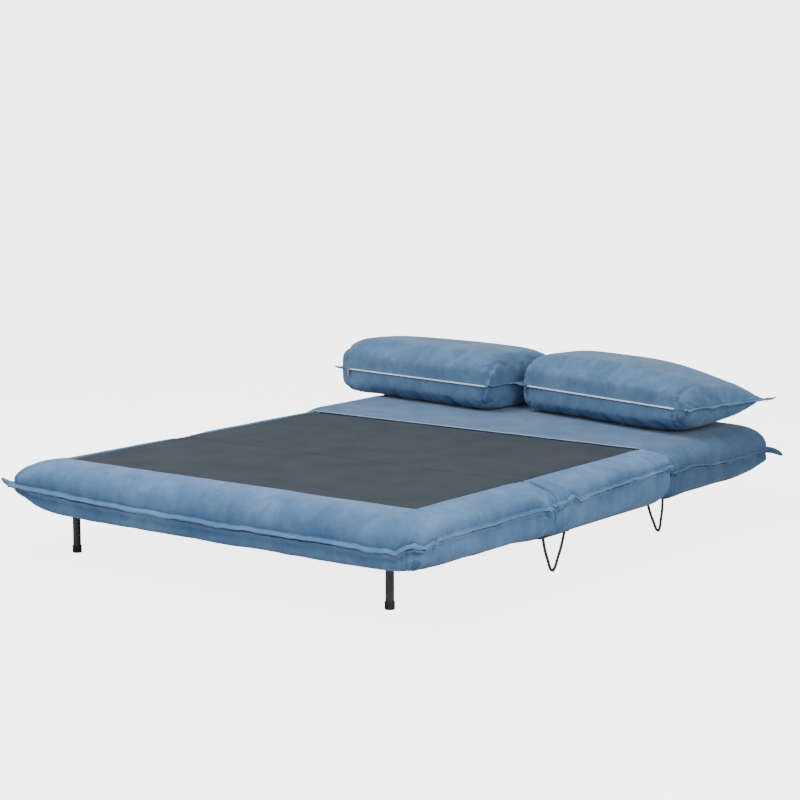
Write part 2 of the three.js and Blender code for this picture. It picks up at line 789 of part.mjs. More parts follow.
function pillowGroup(name) {
  const pillow = PILLOWS[name];
  const group = new THREE.Group();
  group.position.set(pillow.x, pillow.y, TOP + 0.5);
  group.rotation.z = THREE.MathUtils.degToRad(pillow.yaw);
  place(group, "pillow_cover_" + name, pillowCover(pillow), LOOKS.velvet);
  place(group, "pillow_fill_" + name, pillowFill(pillow), LOOKS.foam);
  place(group, "pillow_zip_" + name, zipStrip(pillow), LOOKS.zipTape);
  place(group, "zip_slider_" + name, zipSlider(pillow), LOOKS.zinc);
  return group;
}

const sofaBed = new THREE.Group();
const bed = new THREE.Group();
bed.position.set(BED_X, BED_Y, 0);
bed.add(footSection(), foldLinks(), middleSection(), headSection());
bed.add(...Object.keys(PILLOWS).map(pillowGroup));
sofaBed.add(bed);

export default sofaBed;
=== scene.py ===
"""Looks of a folding futon sofa bed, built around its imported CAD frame.

The fabric work is laid out in millimetres in the bed's own frame. Its origin is under the middle of
the middle section, and +Y points towards the head. It becomes metres in the part's frame when a mesh
is made.
"""

import math

import bmesh
import bpy
import numpy as np
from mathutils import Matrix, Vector


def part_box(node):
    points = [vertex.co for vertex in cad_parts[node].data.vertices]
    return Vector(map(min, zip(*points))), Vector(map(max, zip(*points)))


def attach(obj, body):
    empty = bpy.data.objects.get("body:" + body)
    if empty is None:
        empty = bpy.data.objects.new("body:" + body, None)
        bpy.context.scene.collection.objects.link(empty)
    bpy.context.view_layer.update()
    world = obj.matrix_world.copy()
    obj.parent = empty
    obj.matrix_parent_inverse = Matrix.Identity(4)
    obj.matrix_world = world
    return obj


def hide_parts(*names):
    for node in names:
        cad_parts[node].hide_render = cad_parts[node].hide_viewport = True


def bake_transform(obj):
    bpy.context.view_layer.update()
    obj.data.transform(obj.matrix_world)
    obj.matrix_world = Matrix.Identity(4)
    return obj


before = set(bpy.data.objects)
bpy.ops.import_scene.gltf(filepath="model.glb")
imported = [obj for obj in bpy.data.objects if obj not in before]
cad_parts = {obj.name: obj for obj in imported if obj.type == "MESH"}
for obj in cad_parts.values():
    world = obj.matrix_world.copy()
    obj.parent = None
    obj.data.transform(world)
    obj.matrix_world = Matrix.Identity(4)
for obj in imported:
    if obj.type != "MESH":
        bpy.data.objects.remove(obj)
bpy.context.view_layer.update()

MM = 0.001

# ---- Camera ----

CAMERA_PLACE = (3.6466, -4.9398, 1.2773)
CAMERA_TURN = 36.73
CAMERA_TILT_DOWN = 8.42
CAMERA_LENS = 95.95


def add_camera():
    data = bpy.data.cameras.new("camera")
    data.lens = CAMERA_LENS
    data.sensor_width = 36
    data.clip_end = 60
    camera = bpy.data.objects.new("camera", data)
    camera.location = CAMERA_PLACE
    camera.rotation_euler = (math.radians(90 - CAMERA_TILT_DOWN), 0, math.radians(CAMERA_TURN))
    bpy.context.scene.collection.objects.link(camera)
    bpy.context.scene.camera = camera


add_camera()

# ---- Driving sizes, from the CAD boxes ----


def centre_of(node):
    low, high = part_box(node)
    return Vector(((low.x + high.x) / 2, (low.y + high.y) / 2, 0))


BED = centre_of("middle_foam")


def span(node, axis):
    """A CAD node's extent along an axis, in millimetres from the bed's origin."""
    low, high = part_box(node)
    return (low[axis] - BED[axis]) / MM, (high[axis] - BED[axis]) / MM


# The CAD covers reach this far past the pads, for the flange
FLANGE = 12
HALF_WIDTH = span("middle_cover", 0)[1] - FLANGE
FOOT_END = span("foot_cover", 1)[0] + FLANGE
FOOT_FOLD = (span("foot_cover", 1)[1] + span("middle_cover", 1)[0]) / 2
HEAD_FOLD = (span("middle_cover", 1)[1] + span("head_cover", 1)[0]) / 2
HEAD_END = span("head_cover", 1)[1] - FLANGE
UNDERSIDE, TOP = span("head_cover", 2)
PANEL_HALF = span("middle_panel", 0)[1]
PANEL_FRONT = span("foot_panel", 1)[0]
PANEL_BACK = span("middle_panel", 1)[1]
# The dark panel lies a little lower than the rolls, and the cover under it lower still
PANEL_Z = TOP - 3
PANEL_BED = PANEL_Z - 5
FOLD_GAP = 0.6

# ---- Smooth, repeatable noise ----


def lattice(ix, iy, seed):
    h = np.sin(ix * 12.9898 + iy * 78.233 + seed * 37.719) * 43758.5453
    return h - np.floor(h)


def noise(x, y, seed):
    """Smooth noise from -1 to 1, with one value for each whole step of x and y."""
    ix, iy = np.floor(x), np.floor(y)
    fx, fy = x - ix, y - iy
    fx, fy = fx * fx * (3 - 2 * fx), fy * fy * (3 - 2 * fy)
    near = lattice(ix, iy, seed) * (1 - fx) + lattice(ix + 1, iy, seed) * fx
    far = lattice(ix, iy + 1, seed) * (1 - fx) + lattice(ix + 1, iy + 1, seed) * fx
    return 2 * (near * (1 - fy) + far * fy) - 1


def ridges(x, y, seed):
    """Noise from -0.5 to 0.5 with narrow crests, as gathered cloth has."""
    return (1 - np.abs(noise(x, y, seed))) ** 2 - 0.5


def smooth(edge0, edge1, x):
    t = np.clip((x - edge0) / (edge1 - edge0), 0, 1)
    return t * t * (3 - 2 * t)


def bell(x, centre, width):
    return np.exp(-(((x - centre) / width) ** 2))


# ---- Mesh helpers ----


def make_object(name, points_mm, faces, material):
    mesh = bpy.data.meshes.new(name)
    points = np.asarray(points_mm, float).reshape(-1, 3) * MM + np.array(BED)
    mesh.from_pydata(points.tolist(), [], [tuple(int(i) for i in f) for f in faces])
    mesh.polygons.foreach_set("use_smooth", [True] * len(mesh.polygons))
    mesh.materials.append(material)
    mesh.update()
    obj = bpy.data.objects.new(name, mesh)
    bpy.context.scene.collection.objects.link(obj)
    return obj


def grid_faces(rows, cols, wrap):
    """Quads of a grid of points, closed along the columns when wrap is true."""
    last = cols if wrap else cols - 1
    r, c = np.meshgrid(np.arange(rows - 1), np.arange(last), indexing="ij")
    n = (c + 1) % cols
    a, b = r * cols + c, r * cols + n
    return np.stack([a, b, b + cols, a + cols], -1).reshape(-1, 4)


def tube_faces(rows, cols):
    """Quads around a tube made of rings of points, and a face over each end."""
    ends = [tuple(range(cols - 1, -1, -1)), tuple((rows - 1) * cols + i for i in range(cols))]
    return grid_faces(rows, cols, True).tolist() + ends


def ring_normals(points):
    """Unit normals of a stack of rings, outward when the rings run counter-clockwise."""
    along = np.roll(points, -1, 1) - np.roll(points, 1, 1)
    across = np.gradient(points, axis=0)
    normal = np.cross(along, across)
    length = np.linalg.norm(normal, axis=-1, keepdims=True)
    return normal / np.maximum(length, 1e-9)


def turn_outwards(obj):
    mesh = bmesh.new()
    mesh.from_mesh(obj.data)
    bmesh.ops.recalc_face_normals(mesh, faces=mesh.faces)
    mesh.to_mesh(obj.data)
    mesh.free()


def read_points(mesh):
    """A mesh's points, in metres."""
    points = np.empty(len(mesh.vertices) * 3, np.float32)
    mesh.vertices.foreach_get("co", points)
    return points.reshape(-1, 3).astype(float)


def apply_modifiers(obj):
    evaluated = obj.evaluated_get(bpy.context.evaluated_depsgraph_get())
    mesh = bpy.data.meshes.new_from_object(evaluated)
    obj.modifiers.clear()
    obj.data = mesh


def boxes(lows, highs):
    """Points and faces of boxes between pairs of opposite corners."""
    corners = [(0, 0, 0), (1, 0, 0), (1, 1, 0), (0, 1, 0), (0, 0, 1), (1, 0, 1), (1, 1, 1), (0, 1, 1)]
    sides = [(0, 3, 2, 1), (4, 5, 6, 7), (0, 1, 5, 4), (1, 2, 6, 5), (2, 3, 7, 6), (3, 0, 4, 7)]
    points = np.where(corners, np.asarray(highs)[:, None], np.asarray(lows)[:, None])
    faces = np.array(sides) + 8 * np.arange(len(points))[:, None, None]
    return points.reshape(-1, 3), faces.reshape(-1, 4)


def carve(obj, pockets):
    """Cuts box-shaped pockets, each ((x0, x1), (y0, y1), (z0, z1)), out of a closed mesh."""
    spans = np.array(pockets, float)
    points, faces = boxes(spans[..., 0], spans[..., 1])
    cutter = make_object("cutter", points, faces, obj.data.materials[0])
    modifier = obj.modifiers.new("pockets", "BOOLEAN")
    modifier.operation = "DIFFERENCE"
    modifier.solver = "MANIFOLD"
    modifier.object = cutter
    apply_modifiers(obj)
    bpy.data.objects.remove(cutter)


# ---- Materials ----


def new_material(name, roughness, metallic=0.0, specular=0.5, sheen=0.0, sheen_tint=(1, 1, 1)):
    material = bpy.data.materials.new(name)
    material.use_nodes = True
    shader = material.node_tree.nodes["Principled BSDF"]
    shader.inputs["Roughness"].default_value = roughness
    shader.inputs["Metallic"].default_value = metallic
    shader.inputs["Specular IOR Level"].default_value = specular
    shader.inputs["Sheen Weight"].default_value = sheen
    shader.inputs["Sheen Roughness"].default_value = 0.4
    shader.inputs["Sheen Tint"].default_value = (*sheen_tint, 1)
    return material, material.node_tree, shader


def grain(tree, scale, detail=3.0, roughness=0.55, stretch=(1, 1, 1), warp=0.0):
    """Noise in the piece's own coordinates, in features per metre, stretched along the axes."""
    coords = tree.nodes.new("ShaderNodeTexCoord")
    mapping = tree.nodes.new("ShaderNodeMapping")
    mapping.inputs["Scale"].default_value = stretch
    node = tree.nodes.new("ShaderNodeTexNoise")
    node.inputs["Scale"].default_value = scale
    node.inputs["Detail"].default_value = detail
    node.inputs["Roughness"].default_value = roughness
    node.inputs["Distortion"].default_value = warp
    tree.links.new(coords.outputs["Object"], mapping.inputs["Vector"])
    tree.links.new(mapping.outputs["Vector"], node.inputs["Vector"])
    return node.outputs["Fac"]


def ramp(tree, value, stops):
    """A colour ramp over value, with (position, colour) stops."""
    node = tree.nodes.new("ShaderNodeValToRGB")
    elements = node.color_ramp.elements
    while len(elements) < len(stops):
        elements.new(0.5)
    for element, (place, colour) in zip(elements, stops):
        element.position = place
        element.color = (*colour, 1)
    tree.links.new(value, node.inputs["Fac"])
    return node.outputs["Color"]


def tint(tree, base, value, low, high):
    """base multiplied by a grey that runs from low to high as value rises."""
    node = tree.nodes.new("ShaderNodeMix")
    node.data_type = "RGBA"
    node.blend_type = "MULTIPLY"
    factor, first, second = node.inputs[0], node.inputs[6], node.inputs[7]
    factor.default_value = 1.0
    tree.links.new(base, first)
    tree.links.new(ramp(tree, value, [(0.3, (low,) * 3), (0.7, (high,) * 3)]), second)
    return node.outputs[2]


def bumps(tree, shader, *layers):
    """Stacks bump layers, each (height, distance in metres, strength), on the shader's normal."""
    normal = None
    for height, distance, strength in layers:
        node = tree.nodes.new("ShaderNodeBump")
        node.inputs["Distance"].default_value = distance
        node.inputs["Strength"].default_value = strength
        tree.links.new(height, node.inputs["Height"])
        if normal is not None:
            tree.links.new(normal, node.inputs["Normal"])
        normal = node.outputs["Normal"]
    tree.links.new(normal, shader.inputs["Normal"])


def velvet(name, dark, mid, light):
    """Brushed velvet: cloudy pile, short strokes and a fine nap."""
    sheen_blue = (0.70, 0.82, 1.0)
    material, tree, shader = new_material(name, 0.9, specular=0.2, sheen=0.3, sheen_tint=sheen_blue)
    clouds = grain(tree, 9.0, 4.0, 0.6, warp=0.4)
    strokes = grain(tree, 34.0, 3.0, 0.62, stretch=(1.0, 1.0, 0.45))
    nap = grain(tree, 420.0, 2.0, 0.6)
    base = ramp(tree, clouds, [(0.3, dark), (0.5, mid), (0.72, light)])
    colour = tint(tree, tint(tree, base, strokes, 0.88, 1.09), nap, 0.88, 1.08)
    tree.links.new(colour, shader.inputs["Base Color"])
    bumps(tree, shader, (strokes, 0.003, 0.35), (nap, 0.0009, 0.5))
    return material


def plain_finish(name, dark, light, roughness, scale, relief, stretch=(1, 1, 1), **finish):
    """A finish whose tone wanders from dark to light, with a fine grain that roughens it."""
    material, tree, shader = new_material(name, roughness, **finish)
    fine = grain(tree, scale, 4.0, 0.65, stretch=stretch)
    broad = grain(tree, scale / 30, 3.0, 0.5)
    base = ramp(tree, broad, [(0.3, dark), (0.7, light)])
    tree.links.new(tint(tree, base, fine, 0.86, 1.12), shader.inputs["Base Color"])
    bumps(tree, shader, (fine, relief, 0.4))
    return material


def pine_wood():
    material, tree, shader = new_material("pine_slat", 0.6)
    rings = grain(tree, 60.0, 5.0, 0.6, stretch=(0.05, 1.0, 1.0))
    tone = ramp(tree, rings, [(0.35, (0.40, 0.25, 0.12)), (0.65, (0.62, 0.44, 0.25))])
    tree.links.new(tone, shader.inputs["Base Color"])
    bumps(tree, shader, (rings, 0.0004, 0.3))
    return material


VELVET = velvet("blue_velvet", (0.068, 0.150, 0.290), (0.088, 0.184, 0.342), (0.126, 0.236, 0.412))
# The head section's velvet is darker: painted shade for the pillows' shadow and the light falling on it,
# and partly its pile lying the other way
HEAD_VELVET_PAINTED_SHADE = velvet("head_velvet_painted_shade", (0.043, 0.094, 0.180), (0.055, 0.116, 0.214), (0.078, 0.150, 0.260))
PILLOW_VELVET = velvet(
    "pillow_velvet", (0.064, 0.132, 0.236), (0.080, 0.158, 0.276), (0.106, 0.194, 0.324)
)
# The welt's pale colour is painted highlight, where the cover's edge catches light
WELT_PAINTED_HIGHLIGHT = plain_finish(
    "panel_welt_painted_highlight", (0.24, 0.33, 0.44), (0.34, 0.43, 0.54), 0.85, 500.0, 0.0003, specular=0.2
)
FELT_DARK, FELT_LIGHT = (0.029, 0.036, 0.047), (0.038, 0.047, 0.060)
FELT = plain_finish(
    "panel_felt", FELT_DARK, FELT_LIGHT, 0.92, 260.0, 0.0006, stretch=(0.35, 1.0, 1.0), specular=0.2
)
STEEL = plain_finish("powder_coat", (0.030, 0.030, 0.034), (0.046, 0.046, 0.052), 0.38, 900.0, 0.0003)
ZINC = plain_finish(
    "zinc_plate", (0.38, 0.39, 0.40), (0.54, 0.55, 0.56), 0.36, 700.0, 0.0002, metallic=1.0
)
RUBBER = plain_finish("foot_rubber", (0.012, 0.012, 0.013), (0.024, 0.024, 0.026), 0.7, 700.0, 0.0002)
ZIP_TAPE = plain_finish("zip_tape", (0.80, 0.84, 0.88), (0.90, 0.93, 0.96), 0.4, 900.0, 0.0002)
PINE = pine_wood()

# ---- Section covers ----
# Each is a stack of rings of points, from the middle of the underside to the middle of the top.

CORNER_POINTS = 14
END_POINTS = 90
WIDE_POINTS = 190
# How far the two flange bands reach below and above the sewn edge
LIP_DEPTH = 22
LIP_TOP = 17

# How high the sewn edge runs: (place, height), along both ends from left to right and along the sides
# from the foot to the head.
FRONT_SEAM = [(-700, 188), (-560, 182), (-330, 171), (0, 168), (480, 167), (640, 168)]
FRONT_SEAM += [(690, 196), (714, 199)]
FOOT_SIDE_SEAM = [(-915, 176), (-897, 177), (-830, 193), (-700, 197), (-570, 196), (-410, 199), (-320, 192)]
MIDDLE_SIDE_SEAM = [(-300, 200), (-250, 206), (-225, 212), (-192, 190), (-120, 199), (60, 205)]
MIDDLE_SIDE_SEAM += [(240, 208), (300, 216)]
HEAD_SIDE_SEAM = [(310, 204), (400, 196), (560, 184), (700, 178), (915, 178)]
BACK_SEAM = [(-700, 178), (-300, 170), (200, 174), (700, 178)]


def along_path(path, x):
    places, heights = zip(*path)
    return np.interp(x, places, heights)


def spread(count):
    """Points from 0 to 1, twice as close together at both ends."""
    t = np.linspace(0, 1, count)
    return t - 0.5 * np.sin(2 * math.pi * t) / (2 * math.pi)


def rounded_ring(x0, x1, y0, y1, front_radius, back_radius):
    """A rounded rectangle, counter-clockwise from the front left."""
    half = min(x1 - x0, y1 - y0) / 2
    front, back = min(front_radius, half), min(back_radius, half)
    turn = np.linspace(0, math.pi / 2, CORNER_POINTS + 2)[1:-1]

    def edge(ax, ay, bx, by, count):
        t = spread(count)
        return np.stack([ax + (bx - ax) * t, ay + (by - ay) * t], 1)

    def corner(cx, cy, radius, start):
        return np.stack([cx + radius * np.cos(start + turn), cy + radius * np.sin(start + turn)], 1)

    parts = [
        edge(x0 + front, y0, x1 - front, y0, WIDE_POINTS),
        corner(x1 - front, y0 + front, front, -math.pi / 2),
        edge(x1, y0 + front, x1, y1 - back, END_POINTS),
        corner(x1 - back, y1 - back, back, 0),
        edge(x1 - back, y1, x0 + back, y1, WIDE_POINTS),
        corner(x0 + back, y1 - back, back, math.pi / 2),
        edge(x0, y1 - back, x0, y0 + front, END_POINTS),
        corner(x0 + front, y0 + front, front, math.pi),
    ]
    return np.concatenate(parts)


# Each section's span along Y, and for its front and back folds (0 where an end is free) the rounding
# radius, how far the rolls dip towards the fold and how much the cloth gathers there.
# side_lip is the flange's size along the sides. roll_under is how far the lower roll tucks in under the
# sewn edge, and back_under is the share of it at the back. lift is how far the underside rises at the
# folds. A corner is (side, end, how far it thins, ear length, ear lift).
SECTIONS = {
    "foot": {
        "y": (FOOT_END, FOOT_FOLD - FOLD_GAP),
        "fold": (0, 9.5),
        "dip": (0, 1.0),
        "gather": (0, 1.5),
        "side_seam": FOOT_SIDE_SEAM,
        "side_lip": 0.72,
        "roll_under": 82,
        "back_under": 1.0,
        "lift": 11,
        "corners": [(-1, FOOT_END, 0.75, 8, 5), (1, FOOT_END, 0.35, 5, 3)],
        "panel": True,
    },
    "middle": {
        "y": (FOOT_FOLD + FOLD_GAP, HEAD_FOLD - FOLD_GAP),
        "fold": (9.5, 4),
        "dip": (0.9, 0.3),
        "gather": (1.6, 0.8),
        "side_seam": MIDDLE_SIDE_SEAM,
        "side_lip": 0.66,
        "roll_under": 44,
        "back_under": 1.0,
        "lift": 8,
        "corners": (),
        "panel": True,
    },
    "head": {
        "y": (HEAD_FOLD + FOLD_GAP, HEAD_END),
        "fold": (5, 0),
        "dip": (1.7, 0),
        "gather": (0.6, 0),
        "side_seam": HEAD_SIDE_SEAM,
        "side_lip": 0.46,
        "roll_under": 60,
        "back_under": 0.35,
        "lift": 8,
        "corners": [(-1, HEAD_END, 0.6, 10, 4), (1, HEAD_END, 0.4, 12, -3)],
        "panel": False,
    },
}
SIDE_BORDER = HALF_WIDTH - PANEL_HALF
FRONT_BORDER = PANEL_FRONT - FOOT_END
# Where the roll's crest lies, as a share of the way from the sewn edge to the dark panel
SIDE_CREST = 0.93
END_CREST = 0.54
OUTER_CORNER = 46
# How far the rounded corner stays from the square one
CORNER_TIP = OUTER_CORNER * (math.sqrt(2) - 1)
FOLD_CORNER = 14
MEAN_SEAM = 190
UNDER_ROUNDING = 14
# How far inside the rolls the flat rows start
FLAT_BELOW = 8
FLAT_ABOVE = 5


def underside_rows():
    """Rows from the middle of the underside outwards.

    A row is (kind, how far along, inset, base height, share of the seam's height, height that grows
    with the lip).
    """
    return [("under", t, 0, UNDERSIDE, 0, 0) for t in (0.97, 0.75, 0.5, 0.3, 0.16, 0.07, 0)]


def lower_roll_rows(roll_under):
    """The bulging lower side, tucked in under its widest place."""
    rows = []
    widest = 0.62
    for t in np.linspace(0.012, 0.93, 15):
        if t < widest:
            inset = 1 + roll_under * ((widest - t) / widest) ** 2.3
        else:
            inset = 1 + 4 * ((t - widest) / (1 - widest)) ** 2
        rows.append(("side", 0, inset, UNDERSIDE * (1 - t), t, -LIP_DEPTH * t))
    return rows


def lip_rows():
    """Two flange bands edge to edge, and the sewn grooves: (inset, height from the seam)."""
    shape = [(4.8, -21.5), (3.2, -19.0), (0.2, -16.0), (-4.0, -11.5), (-7.4, -7.0), (-8.8, -4.5)]
    shape += [(-8.0, -2.6), (-1.0, -2.2), (-1.0, -0.2), (-9.6, 0.2), (-11.6, 2.0), (-11.0, 3.8)]
    shape += [(-8.2, 6.6), (-4.2, 9.4), (-0.6, 11.6), (1.6, 13.0), (2.4, 14.4), (2.0, 15.6)]
    return [("lip", 0, inset, 0, 1, rise) for inset, rise in shape]


# Below 1 the roll is fuller than a quarter circle
ROLL_POWER = 0.85


def upper_roll_rows():
    """From the sewn edge up to the roll's crest."""
    rows = []
    for angle in np.linspace(4, 90, 18):
        rise = math.sin(math.radians(angle)) ** ROLL_POWER
        share = 1 - math.cos(math.radians(angle)) ** ROLL_POWER
        dent = 0.6 + 1.8 * math.exp(-rise / 0.07)
        rows.append(("roll", share, dent, TOP * rise, 1 - rise, LIP_TOP * (1 - rise)))
    return rows


def panel_border_rows():
    """From the crest down to the seam along the dark panel, then on under the panel."""
    rows = [("border", t, 2, TOP - (TOP - PANEL_Z) * t**3, 0, 0) for t in np.linspace(0.14, 1, 8)]
    rows.append(("border", 1, 3, PANEL_BED + 1, 0, 0))
    return rows + [("inner", t, 0, PANEL_BED, 0, 0) for t in (0.02, 0.15, 0.4, 0.7, 0.97)]


def plain_top_rows():
    return [("top", t, 0, TOP, 0, 0) for t in np.linspace(0.04, 0.97, 23)]


def fold_rounding(z, radius):
    """How far a fold side sits back at height z, rounded at the top and the bottom."""
    up = min(max(z - (TOP - radius), 0), radius)
    down = min(max(UNDERSIDE + UNDER_ROUNDING - z, 0), UNDER_ROUNDING)
    return radius - math.sqrt(radius**2 - up**2) + down**2 / UNDER_ROUNDING


def row_insets(section, row, half):
    """Insets of the sides, the front and the back for one row."""
    kind, along, inset, base, of_seam, _ = row
    folds = section["fold"]
    borders = np.array([SIDE_BORDER, FRONT_BORDER if section["panel"] else SIDE_BORDER, SIDE_BORDER])
    crests = borders * (SIDE_CREST, END_CREST, END_CREST)
    tuck = np.array([1, 1, section["back_under"]])
    if kind in ("under", "inner", "top"):
        under = section["roll_under"] + FLAT_BELOW
        starts = {"under": tuck * under, "inner": FLAT_ABOVE + borders, "top": FLAT_ABOVE + crests}
        start = starts[kind]
        fold_start = [UNDER_ROUNDING if kind == "under" else fold for fold in folds]
        edges = [start[0]] + [fold_start[i] if fold else start[1 + i] for i, fold in enumerate(folds)]
        return tuple(edge + (half - edge) * along for edge in edges)
    reach = {"side": 0 * crests, "lip": 0 * crests, "roll": crests * along}
    reach["border"] = crests + (borders - crests) * along
    free = inset * (tuck if kind == "side" else 1) + reach[kind]
    z = min(base + of_seam * MEAN_SEAM, TOP)
    return (free[0], *(fold_rounding(z, fold) if fold else free[1 + i] for i, fold in enumerate(folds)))


FAR_AWAY = 1e4


def fold_distances(section, y):
    """Distances from the front and the back fold, or far away from a free end."""
    distances = (y - section["y"][0], section["y"][1] - y)
    return [off if fold else 0 * off + FAR_AWAY for fold, off in zip(section["fold"], distances)]


def nearest_fold(section, outline):
    """Distance of each column from the nearest fold."""
    return np.minimum(*fold_distances(section, outline[:, 1]))[None, :]


def near_folds(section, name, outline, width):
    """The section's front and back values of a kind, each fading away from its fold."""
    distances = fold_distances(section, outline[:, 1])
    return sum(value * bell(off, 0, width) for value, off in zip(section[name], distances))[None, :]


def arc_length(outline):
    """How far along the closed outline each column lies."""
    step = np.linalg.norm(np.roll(outline, -1, 0) - outline, axis=1)
    return np.concatenate([[0], np.cumsum(step)[:-1]])[None, :]


# Stretches over which an end's seam and flange turn into the side's
SEAM_TURN = (4, 40)
LIP_TURN = (6, 60)
FRONT_LIP = 0.8
BACK_LIP = 0.7


def free_ends(section, y, fade):
    """How near each column is to a free front and to a free back end, from 0 to 1."""
    distances = (y - section["y"][0], section["y"][1] - y)
    return [0 * y if fold else 1 - smooth(*fade, off) for fold, off in zip(section["fold"], distances)]


def seam_height(section, outline):
    """Height of the sewn edge at each point of the outline."""
    x, y = outline.T
    front, back = free_ends(section, y, SEAM_TURN)
    height = along_path(section["side_seam"], y)
    height = along_path(FRONT_SEAM, x) * front + height * (1 - front)
    return along_path(BACK_SEAM, x) * back + height * (1 - back)


def lip_height(section, outline):
    """How large the flange is: more along the foot and head ends than along the sides."""
    front, back = free_ends(section, outline[:, 1], LIP_TURN)
    side = section["side_lip"]
    return side + (FRONT_LIP - side) * front + (BACK_LIP - side) * back


# A ring's corner radius shrinks by this share over this inset, down to the least radius
CORNER_SHRINK = 0.8
SHRINK_REACH = 100
LEAST_RADIUS = 6
LEAST_LIP = 0.45


def section_grid(section):
    """The smooth cover's rows of ring points, and each column's place and seam height."""
    (y0, y1), folds = section["y"], section["fold"]
    half = (y1 - y0) / 2
    radii = [FOLD_CORNER if fold else OUTER_CORNER for fold in folds]
    outline = rounded_ring(-HALF_WIDTH, HALF_WIDTH, y0, y1, *radii)
    seam = seam_height(section, outline)
    tall = lip_height(section, outline)
    top_rows = panel_border_rows() if section["panel"] else plain_top_rows()
    grid = []
    side_rows = lower_roll_rows(section["roll_under"]) + lip_rows() + upper_roll_rows()
    for row in underside_rows() + side_rows + top_rows:
        side, front, back = row_insets(section, row, half)
        shrink = 1 - CORNER_SHRINK * min(max(side, 0) / SHRINK_REACH, 1)
        corners = [max(radius * shrink, LEAST_RADIUS) for radius in radii]
        plan = rounded_ring(side - HALF_WIDTH, HALF_WIDTH - side, y0 + front, y1 - back, *corners)
        z = row[3] + row[4] * seam + row[5] * tall
        if row[0] == "lip":
            plan = outline + (plan - outline) * (LEAST_LIP + (1 - LEAST_LIP) * tall[:, None])
            plan, z = add_ears(section, plan, z, outline, row[2], row[5])
        grid.append(np.column_stack([plan, z]))
    return np.array(grid), outline, seam


EAR_THICKNESS = 4
EAR_WIDTH = 17
# An ear carries the rows this near the seam out by this share
GROOVE_HEIGHT = 2.5
GROOVE_SHARE = 0.85


def add_ears(section, plan, z, outline, inset, rise):
    """Draws the flange out into a thick, curled ear at the free corners."""
    share = GROOVE_SHARE if abs(rise) < GROOVE_HEIGHT else (max(-inset, 0) / FLANGE) ** 0.3
    thicker = EAR_THICKNESS * np.clip(rise / 10, -1, 1)
    for side, end, _, length, lift in section["corners"]:
        corner = np.array([side * HALF_WIDTH, end])
        away = np.array([side, math.copysign(1, end)]) / math.sqrt(2)
        ear = share * bell(np.hypot(*(outline - corner).T), CORNER_TIP, EAR_WIDTH)
        plan = plan + away * (length * ear)[:, None]
        z = z + lift * ear**2 + thicker * ear
    return plan, z


# The top thins by this share of what the underside does
TOP_THINNING = 0.3
THIN_REACH = 88


def shape_corners(section, points, seam):
    """Thins the pads towards the free corners."""
    for side, end, thinning, _, _ in section["corners"]:
        away = np.hypot(points[..., 0] - side * HALF_WIDTH, points[..., 1] - end)
        near = thinning * bell(away, 0, THIN_REACH)
        from_seam = points[..., 2] - seam[None, :]
        points[..., 2] -= from_seam * near * np.where(from_seam < 0, 1, TOP_THINNING)
    return points


# How far from the middle the side rolls start and are full, above and at the tuck below
SIDE_ROLL = (HALF_WIDTH - 135, HALF_WIDTH - 40)
TUCKED_ROLL = (HALF_WIDTH - 150, HALF_WIDTH - 90)
# Heights over which the rolls' upper half sets in and their lower half ends
UPPER_HALF = (150, 235)
LOWER_HALF = (UNDERSIDE, 175)
# How deep a roll dips at a fold, and how far it draws in there: broadly, and right at the edge
DIP_DEPTH = 12
DIP_DRAW = 5
EDGE_DRAW = 4
DIP_WIDTH = 60
EDGE_WIDTH = 14
# How far from a fold the roll lifts and fills out, and the tuck that it keeps
LIFT_WIDTH = 30
FILL_WIDTH = 90
LEAST_TUCK = 44
# How far the rolls sink beside the dark panel, and the left one more
PANEL_SINK = 2.5
LEFT_SLUMP = 12


def shape_folds(section, points, outline):
    """Draws the rolls in towards each fold, and sinks the fold's edge under the dark panel."""
    x, y, z = points[..., 0], points[..., 1], points[..., 2]
    side = smooth(*SIDE_ROLL, np.abs(x))
    upper = smooth(*UPPER_HALF, z)
    lower = 1 - smooth(*LOWER_HALF, z)
    dip = near_folds(section, "dip", outline, DIP_WIDTH)
    edge = near_folds(section, "dip", outline, EDGE_WIDTH)
    near = nearest_fold(section, outline)
    lift = lower * side * section["lift"] * np.exp(-((near / LIFT_WIDTH) ** 4))
    points[..., 2] = z - side * upper * DIP_DEPTH * dip + lift
    points[..., 0] = x - np.sign(x) * side * (DIP_DRAW * dip + EDGE_DRAW * edge)
    outer = smooth(*TUCKED_ROLL, np.abs(x)) * lower**2.2
    filling = section["roll_under"] - LEAST_TUCK
    points[..., 0] += np.sign(x) * outer * filling * bell(near, 0, FILL_WIDTH)
    if section["panel"]:
        upper_edge = smooth(TOP - 60, TOP, z)
        beside = smooth(PANEL_HALF - 2, PANEL_HALF + 18, np.abs(x))
        points[..., 2] -= PANEL_SINK * beside * upper_edge
        along = smooth(PANEL_FRONT - 60, PANEL_FRONT + 140, y)
        along_left = smooth(PANEL_HALF - 2, PANEL_HALF + 34, -x) * along
        points[..., 2] -= LEFT_SLUMP * along_left * upper_edge
        under_panel = smooth(PANEL_HALF + 1, PANEL_HALF - 5, np.abs(points[..., 0]))
        at_foot_fold = smooth(14, 9, np.abs(y - FOOT_FOLD))
        cap = PANEL_BED + (TOP - PANEL_BED + 1) * (1 - under_panel * at_foot_fold)
        points[..., 2] = np.minimum(points[..., 2], cap)
    return points


# Wrinkles as (height, length along the sewn edge, length up the roll), in millimetres
BROAD_BILLOW = (2.2, 120, 70)
SMALL_BILLOW = (1.1, 45, 60)
PUCKER = (1.8, 26, 110)
GATHER = (14, 11, 130)
UNEVEN_TOP = (0.2, 60, 60)
PUCKER_REACH = 34
GATHER_REACH = 58
CORNER_REACH = 70
CORNER_GATHER = 0.38


